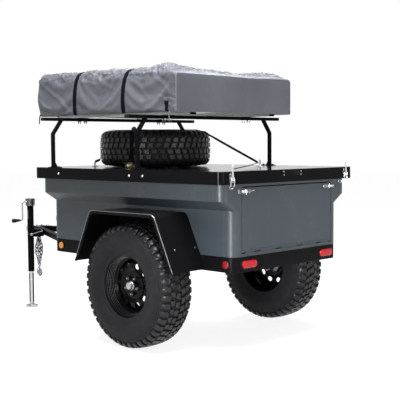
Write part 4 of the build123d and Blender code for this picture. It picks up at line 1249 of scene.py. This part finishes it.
# tail of the strap, drawn taut from the rear eye to the latch on the left
tail = [EYES[0] + Vector((0.002, 0.014, 0.030)), EYES[0].lerp(Vector((LID_REAR + 0.004, 0.590, 1.192)), 0.5) + Vector((0, 0, 0.0200)), Vector((LID_REAR - 0.009, 0.594, 1.2075))]
straps.add(*tube(tail, 0.0030, 8))
straps.obj("spare_tie_down", M_WEB, "lid")
rings.add(*tube([SPARE + Vector((0.036 * math.cos(k * math.pi / 20), 0.036 * math.sin(k * math.pi / 20), 0.1385)) for k in range(40)], 0.0036, 9, closed=True))
rings.obj("tie_down_rings", M_BRIGHT, "lid", "chrome_trim")

# ratchet of a second strap, lying on the lid beside the tyre
c = Vector((AX + 0.330, 0.462, 1.192))
turn = Matrix.Rotation(math.radians(38), 4, "Z")
m = Matrix.Translation(c) @ turn @ Matrix.Diagonal((0.86, 1.0, 1.45, 1.0))
brass = Acc()
for y in (-0.0175, 0.0175):
    v, f = plate([(-0.045, 0.0), (0.040, 0.0), (0.046, 0.010), (0.020, 0.026), (-0.012, 0.030), (-0.040, 0.014)], 0.0022)
    e = Matrix(((1, 0, 0, 0), (0, 0, -1, y + 0.001), (0, 1, 0, 0.0005), (0, 0, 0, 1)))
    brass.add(v, f, m @ e)
brass.add(*tube([m @ Vector((-0.004, y, 0.0175)) for y in (-0.024, -0.01, 0.01, 0.024)], 0.0055, 16))
strap_roll = tube([m @ Vector((-0.004, y, 0.0185)) for y in (-0.0155, -0.006, 0.006, 0.0155)], 0.0155, 18)
brass.add(*tube([m @ Vector((-0.036, y, 0.008)) for y in (-0.020, 0.020)], 0.0035, 10))
handle = bend([(-0.004, -0.0215, 0.0185), (0.058, -0.0215, 0.026), (0.058, 0.0215, 0.026), (-0.004, 0.0215, 0.0185)], 0.010, 4)
brass.add(*tube([m @ p for p in handle], 0.0032, 10))
brass.obj("strap_ratchet", M_BRASS, "lid")
w2 = Acc()
w2.add(*strap_roll)
p0 = m @ Vector((-0.004, 0, 0.0265))
p1 = m @ Vector((-0.050, 0, 0.012))
p2 = m @ Vector((-0.105, 0, 0.0035))
w2.add(*ribbon(bend([p0, p1, p2], 0.02, 5), [(0, 0, 1)] * 8, 0.025, 0.0022))
q1 = m @ Vector((0.045, 0, 0.009))
side_hit = SPARE + (q1 - SPARE).normalized() * 0.0
flat = Vector((q1.x - SPARE.x, q1.y - SPARE.y, 0)).normalized()
on_side = SPARE + flat * 0.4245
on_side.z = 1.300
on_top = SPARE + flat * 0.350
on_top.z = SPARE.z + 0.1380
shoulder = SPARE + flat * 0.4225
shoulder.z = SPARE.z + 0.100
low = SPARE + flat * 0.432
low.z = 1.212
chain_pts = bend([m @ Vector((0.0, 0, 0.0265)), q1 + Vector((0, 0, 0.004)), low, on_side, shoulder, on_top, SPARE + flat * 0.036 + Vector((0, 0, 0.1385))], 0.02, 4)
w2.add(*ribbon(chain_pts, [(p - (SPARE - Vector((0, 0, 0.3)))).normalized() for p in chain_pts], 0.025, 0.0022))
w2.obj("ratchet_strap", M_WEB, "lid")
bolts_lid.obj("lid_bolts", M_STEEL, "lid", "bright_steel")

# ------------------------------------------------------------------ fenders: bright bead as a painted highlight on the edge, and bolts
edge, fb = Acc(), Acc()
# bright metal bead along each fender's edge: a painted highlight, standing in for the light on the black paint's
# rounded edge
for s in (1, -1):
    pts = bend([(AX - 0.488, s * 0.8505, 0.554), (AX - 0.317, s * 0.8505, 0.9155), (AX + 0.317, s * 0.8505, 0.9155), (AX + 0.488, s * 0.8505, 0.554)], 0.0348, 8)
    edge.add(*tube(pts, 0.0017, 8))
    for k in (1, -1):
        for y in (0.766, 0.583):
            round_head(fb, (AX + k * 0.4225, s * y, 0.693), (k * 0.904, 0, 0.427), 0.0044, 0.0034)
edge.obj("fender_edge_painted_highlight_beads", M_BRIGHT, "chassis", "bright_steel")
# black plates with bolts on the tub's sides inside the wheel arches, so each arch is dark above its tyre
arch_plates = Acc()
for s in (1, -1):
    v, f = plate([(-0.437, 0.648), (0.437, 0.648), (0.313, 0.909), (-0.313, 0.909)], 0.0016, 0.0005)
    arch_plates.add(v, f, Matrix(((1, 0, 0, AX), (0, 0, s, s * 0.552), (0, 1, 0, 0), (0, 0, 0, 1))))
    for u in (-0.36, -0.12, 0.12, 0.36):
        round_head(arch_plates, (AX + u, s * 0.5536, 0.668), (0, s, 0), 0.009, 0.003)
arch_plates.obj("wheel_arch_black_plates", M_BLACK, "chassis", "black_paint")

# ------------------------------------------------------------------ torsion axle: brackets, caps and bolts
gusset, iron = Acc(), Acc()
PIVOT = (AX + 0.150, 0.516)
for s in (1, -1):
    # two cheek plates that hold the tube to the frame rail
    for y in (0.4965, 0.4440):
        v, f = plate([(-0.060, 0.0300), (0.060, 0.0300), (0.046, -0.022), (0.034, -0.0345), (-0.034, -0.0345), (-0.046, -0.022)], 0.006)
        gusset.add(v, f, Matrix(((1, 0, 0, PIVOT[0]), (0, 0, -1, s * y + 0.003), (0, 1, 0, PIVOT[1]), (0, 0, 0, 1))))
    gusset.add(*soft_block((0.150, 0.068, 0.006), 0.0015), T(PIVOT[0], s * 0.470, 0.5430))
    for du in (-0.066, 0.066):
        hex_bolt(iron, (PIVOT[0] + du, s * 0.470, 0.5400), (0, 0, -1), 0.0085, 0.008, turn=du * 9)
    # pivot nut, the nut behind the spindle, and two rings round the spindle
    hex_bolt(iron, (PIVOT[0], s * 0.542, PIVOT[1]), (0, s, 0), 0.0140, 0.008)
    hex_bolt(iron, (AX, s * 0.512, 0.420), (0, -s, 0), 0.0190, 0.012)
    gusset.add(*turned([(0.0385, 0.0), (0.0385, 0.006), (0.0340, 0.010), (0.0300, 0.010)], 32), frame_at((AX, s * 0.542, 0.420), (0, s, 0)))
    gusset.add(*turned([(0.0405, 0.0), (0.0405, 0.004), (0.0300, 0.008), (0.0300, 0.0)], 32), frame_at((AX, s * 0.626, 0.420), (0, s, 0)))
gusset.obj("axle_brackets", M_BLACK, "chassis", "black_paint")
iron.obj("axle_bolts", M_NUT, "chassis", "bright_steel")

# ------------------------------------------------------------------ safety chains
chain = Acc()


def link(acc, c, along, flat, half=0.0205, wide=0.0125, wire=0.0058):
    a, b = Vector(along).normalized(), Vector(flat).normalized()
    b = (b - a * b.dot(a)).normalized()
    pts = []
    for k in range(20):
        t = 2 * math.pi * k / 20
        sgn = 1 if math.cos(t) > 0 else -1
        pts.append(Vector(c) + a * (sgn * (half - wide) + wide * math.cos(t)) + b * (wide * math.sin(t)))
    acc.add(*tube(pts, wire, 7, closed=True))


CH = AX + 2.0
for strand, off in (
    ([(0.068, 0.545), (0.088, 0.485), (0.094, 0.435), (0.080, 0.380), (0.064, 0.330)], -0.0050),
    ([(0.054, 0.545), (0.034, 0.488), (0.028, 0.438), (0.040, 0.384), (0.057, 0.330)], 0.0050),
    ([(0.060, 0.540), (0.066, 0.490), (0.055, 0.445), (0.062, 0.405)], -0.0010),
):
    pts = [Vector((CH + off, y, z)) for y, z in strand]
    dense = bend(pts, 0.03, 6)
    dist, last, k = 0.0, dense[0], 0
    pitch = 0.0300
    want = pitch / 2
    for a, b in zip(dense, dense[1:]):
        seg = (b - a).length
        while want <= dist + seg:
            p = a.lerp(b, (want - dist) / seg)
            link(chain, p, b - a, (1, 0, 0) if k % 2 else (0, 1, 0.2))
            want += pitch
            k += 1
        dist += seg
# hooks at the foot
for dx, flip, low in ((-0.0050, -1, 0.0), (0.0055, 1, 0.012)):
    x = CH + dx
    eye = [Vector((x, 0.060 + 0.0135 * math.cos(t * math.pi / 12), 0.314 + low + 0.0135 * math.sin(t * math.pi / 12))) for t in range(24)]
    chain.add(*tube(eye, 0.0048, 8, closed=True))
    hook = bend([(x, 0.060, 0.300 + low), (x, 0.060, 0.276 + low), (x, 0.060 + flip * -0.010, 0.256 + low), (x, 0.060 + flip * -0.012, 0.230 + low), (x, 0.060, 0.207 + low),
                 (x, 0.060 + flip * 0.019, 0.224 + low), (x, 0.060 + flip * 0.0225, 0.246 + low), (x, 0.060 + flip * 0.0190, 0.262 + low)], 0.02, 4)
    n = len(hook)
    chain.add(*tube(hook, 0.006, 10, radii=[0.0054 + 0.0028 * math.sin(math.pi * min(1, i / n * 1.15)) for i in range(n)]))
    chain.add(*tube([(x, 0.060, 0.282 + low), (x, 0.060 + flip * 0.0085, 0.272 + low), (x, 0.060 + flip * 0.0170, 0.256 + low)], 0.0028, 8))
chain.obj("safety_chain_links", M_LUG, "chassis", "bright_steel", ["safety_chains"])
hang = Acc()
hang.add(*plate([(0.042, 0.587), (0.078, 0.587), (0.074, 0.545), (0.066, 0.531), (0.054, 0.531), (0.046, 0.545)], 0.012), Matrix(((0, 0, 1, CH - 0.006), (1, 0, 0, 0), (0, 1, 0, 0), (0, 0, 0, 1))))
hang.obj("chain_plate", M_BLACK, "chassis", "black_paint")

# ------------------------------------------------------------------ jack
JX, JY = AX + 1.768, 0.310
ribs = Acc()
for z, r, t in ((0.8600, 0.0386, 0.0016), (0.8792, 0.0392, 0.0016), (0.8990, 0.0402, 0.0016)):
    ribs.add(*tube([(JX + r * math.cos(k * math.pi / 24), JY + r * math.sin(k * math.pi / 24), z) for k in range(48)], t, 8, closed=True))
v, f = turned([(0.0405, 0.9075), (0.0400, 0.9095), (0.030, 0.9120), (0.012, 0.9130), (0.001, 0.9132)], 40)
ribs.add(v, f, T(JX, JY, 0))
ribs.add(*turned([(0.0300, 0.8526), (0.0378, 0.8532), (0.0390, 0.8550), (0.0390, 0.8655), (0.0372, 0.8672), (0.0372, 0.8715), (0.0396, 0.8732), (0.0396, 0.8850), (0.0388, 0.8866), (0.0388, 0.8910), (0.0404, 0.8928), (0.0410, 0.9050), (0.0402, 0.9078)], 44, cap=False), T(JX, JY, 0))
ribs.obj("jack_head_ribs", M_NUT, "chassis", "bright_steel")

crank = Acc()
crank.add(*tube(bend([(JX, JY + 0.0385, 0.886), (JX, JY + 0.080, 0.886), (JX, JY + 0.080, 0.735), (JX, JY + 0.106, 0.735)], 0.017, 7), 0.0062, 12))
crank.add(*turned([(0.0105, 0.0), (0.0105, 0.010), (0.0090, 0.012), (0.0064, 0.012)], 20), frame_at((JX, JY + 0.0375, 0.886), (0, 1, 0)))
crank.obj("jack_crank_rod", M_STEEL, "chassis", "bright_steel", ["jack_crank"])
grip = Acc()
prof = [(0.0066, 0.0), (0.0088, 0.001), (0.0092, 0.006)]
for k in range(10):
    h = 0.009 + 0.0058 * k
    r = 0.0094 + 0.0070 * k / 9
    prof += [(r, h), (r + 0.0009, h + 0.0019), (r, h + 0.0040)]
prof += [(0.0168, 0.0680), (0.0172, 0.0715), (0.0160, 0.0742), (0.0090, 0.0757), (0.0008, 0.0759)]
grip.add(*turned(prof, 28), frame_at((JX, JY + 0.102, 0.735), (0, 1, 0)))
grip.obj("jack_crank_grip", M_GRIP, "chassis", "black_paint")

fit = Acc()
pin = bend([(AX + 1.724, JY + 0.0290, 0.6150), (AX + 1.660, JY + 0.031, 0.6310), (AX + 1.572, JY + 0.028, 0.6540)], 0.02, 4)
fit.add(*tube(pin, 0.0038, 10))
fit.add(*turned([(0.0005, -0.008), (0.0055, -0.006), (0.0078, 0.0), (0.0055, 0.006), (0.0005, 0.008)], 16), T(*pin[-1]))
fit.add(*turned([(0.0110, 0.0), (0.0110, 0.009), (0.0085, 0.012), (0.0040, 0.012)], 20), frame_at((AX + 1.724, JY + 0.0200, 0.6150), (0, 1, 0)))
fit.add(*plate(round_rect(0.012, 0.072, 0.004), 0.0030), frame_at((JX - 0.0008, JY + 0.0258, 0.780), (-0.03, 1.0, 0)))
for z in (0.600, 0.632):
    for dx in (-0.034, 0.034):
        hex_bolt(fit, (JX + dx, JY - 0.0242, z), (0, -1, 0), 0.0075, 0.006)
fit.obj("jack_fittings", M_LUG, "chassis", "chrome_trim")

foot = Acc()
foot.add(*turned([(0.0202, 0.036), (0.0225, 0.026), (0.0275, 0.0150), (0.0390, 0.0096), (0.0470, 0.0100), (0.0497, 0.0140), (0.0500, 0.0125), (0.0500, 0.0070)], 40, cap=False), T(JX, JY, 0))
for z in (0.060, 0.230):
    foot.add(*tube([(JX + 0.0203 * math.cos(k * math.pi / 18), JY + 0.0203 * math.sin(k * math.pi / 18), z) for k in range(36)], 0.0014, 6, closed=True))
foot.obj("jack_foot_dish", M_STEEL, "jack_leg", "bright_steel")
# black strips on the leg where its grooves run: painted shade standing in for the dark inside the grooves
keys = Acc()
for deg, wide in ((92, 0.0140), (189, 0.0130), (272, 0.0140), (9, 0.0130)):
    a = math.radians(deg)
    keys.add(*soft_block((0.0024, wide, 0.245), 0.0005), T(JX + 0.0194 * math.cos(a), JY + 0.0194 * math.sin(a), 0.1640) @ Matrix.Rotation(a, 4, "Z"))
keys.obj("jack_leg_groove_painted_shade", M_GRIP, "jack_leg", "black_paint")

# ------------------------------------------------------------------ tongue and front
for u, y in ((2.020, 0.048), (2.075, 0.026), (2.020, -0.048), (2.075, -0.026)):
    hex_bolt(fb, (AX + u, y, 0.644), (0, 0, 1), 0.010, 0.008, turn=u * 5)
for s in (1, -1):
    for u in (1.160, 1.215):
        yy = s * (0.459 - (u - 1.128) * 0.4125)
        hex_bolt(fb, (AX + u, yy, 0.642), (0, 0, 1), 0.009, 0.007, turn=u * 7)
fb.obj("frame_bolts", M_STEEL, "chassis", "bright_steel")
lines = Acc()
for drop in (0.596, 0.566):
    run = [(AX + 1.120, -0.436, drop), (AX + 1.300, -0.386, drop), (AX + 1.960, -0.0605, drop), (AX + 1.990, -0.046, drop + 0.010)]
    lines.add(*tube(bend(run, 0.03, 4), 0.0052, 10))
for u in (1.340, 1.560, 1.780):
    y = -0.386 + (u - 1.300) * 0.4932
    lines.add(*soft_block((0.016, 0.018, 0.048), 0.003), T(AX + u, y, 0.5810))
lines.obj("tongue_conduits", M_SATIN, "chassis", "black_paint")
fh = Acc()
for s in (1, -1):
    loop = bend([(AX + 1.128, s * 0.484, 0.770), (AX + 1.174, s * 0.488, 0.772), (AX + 1.174, s * 0.488, 0.812), (AX + 1.128, s * 0.484, 0.814)], 0.012, 5)
    fh.add(*tube(loop, 0.0042, 10))
    for z in (0.770, 0.814):
        fh.add(*plate(round_rect(0.020, 0.020, 0.005), 0.0025), frame_at((AX + 1.128, s * 0.480, z), (1, 0, 0)))
fh.obj("front_hand_loops", M_CHROME, "chassis", "chrome_trim")

# ------------------------------------------------------------------ small webbing on the tent
tw = Acc()
px, pz = AX - 0.197, 1.600
col = []
for k in range(7):
    z = 1.578 + 0.062 * k / 6
    col.append(on_cover((px, TY + 0.2, z), (0, -1, 0), 0.0020))
tw.add(*ribbon(col, [(0, 1, 0)] * 7, 0.025, 0.0022))
c = on_cover((px, TY + 0.2, 1.634), (0, -1, 0), 0.0052)
tw.add(*soft_block((0.036, 0.009, 0.026), 0.003), T(*c))
tail = [on_cover((TX1 - 0.020, TY + 0.2, 1.590), (0, -1, 0), 0.003), Vector((TX1 - 0.018, TY + 0.006, 1.566)), Vector((TX1 - 0.012, TY + 0.004, 1.540)), Vector((TX1 - 0.016, TY + 0.006, 1.518))]
tw.add(*ribbon(bend(tail, 0.02, 3), [(0, 1, 0)] * 10, 0.011, 0.0016))
tw.obj("tent_tie_tabs", M_WEB, "lid")


def lying(p, lift):
    hit, nrm, _, _ = COVER_TREE.find_nearest(Vector(p))
    return hit + nrm * lift


# pale piping round the cover's end panel: its pale colour is a painted highlight on the rear corners and top crease.
# The same pale webbing makes the short tape hanging at the rear left, which is pale itself.
highlight_piping = Acc()
way = [(TX0 + 0.001, TY - 0.001, 1.582 + 0.010 * k) for k in range(24)]
way += [(TX0 + 0.001, TY - 0.012 - 0.024 * k, 1.8275) for k in range(49)]
way += [(TX0 + 0.001, -TY + 0.001, 1.812 - 0.010 * k) for k in range(24)]
highlight_piping.add(*tube([lying(p, 0.0006) + Vector((0, 0, 0.0008 * noise.noise(Vector(p) * 25.0))) for p in way], 0.0026, 7))
highlight_piping.add(*ribbon([(AX - 0.216, TY + 0.002, 1.578), (AX - 0.216, TY + 0.005, 1.560), (AX - 0.2155, TY + 0.004, 1.538), (AX - 0.2165, TY + 0.006, 1.516)], [(0, 1, 0.1)] * 4, 0.008, 0.0014))
highlight_piping.obj("tent_piping_painted_highlight_and_tape", M_PIPING_HIGHLIGHT_AND_TAPE, "lid")
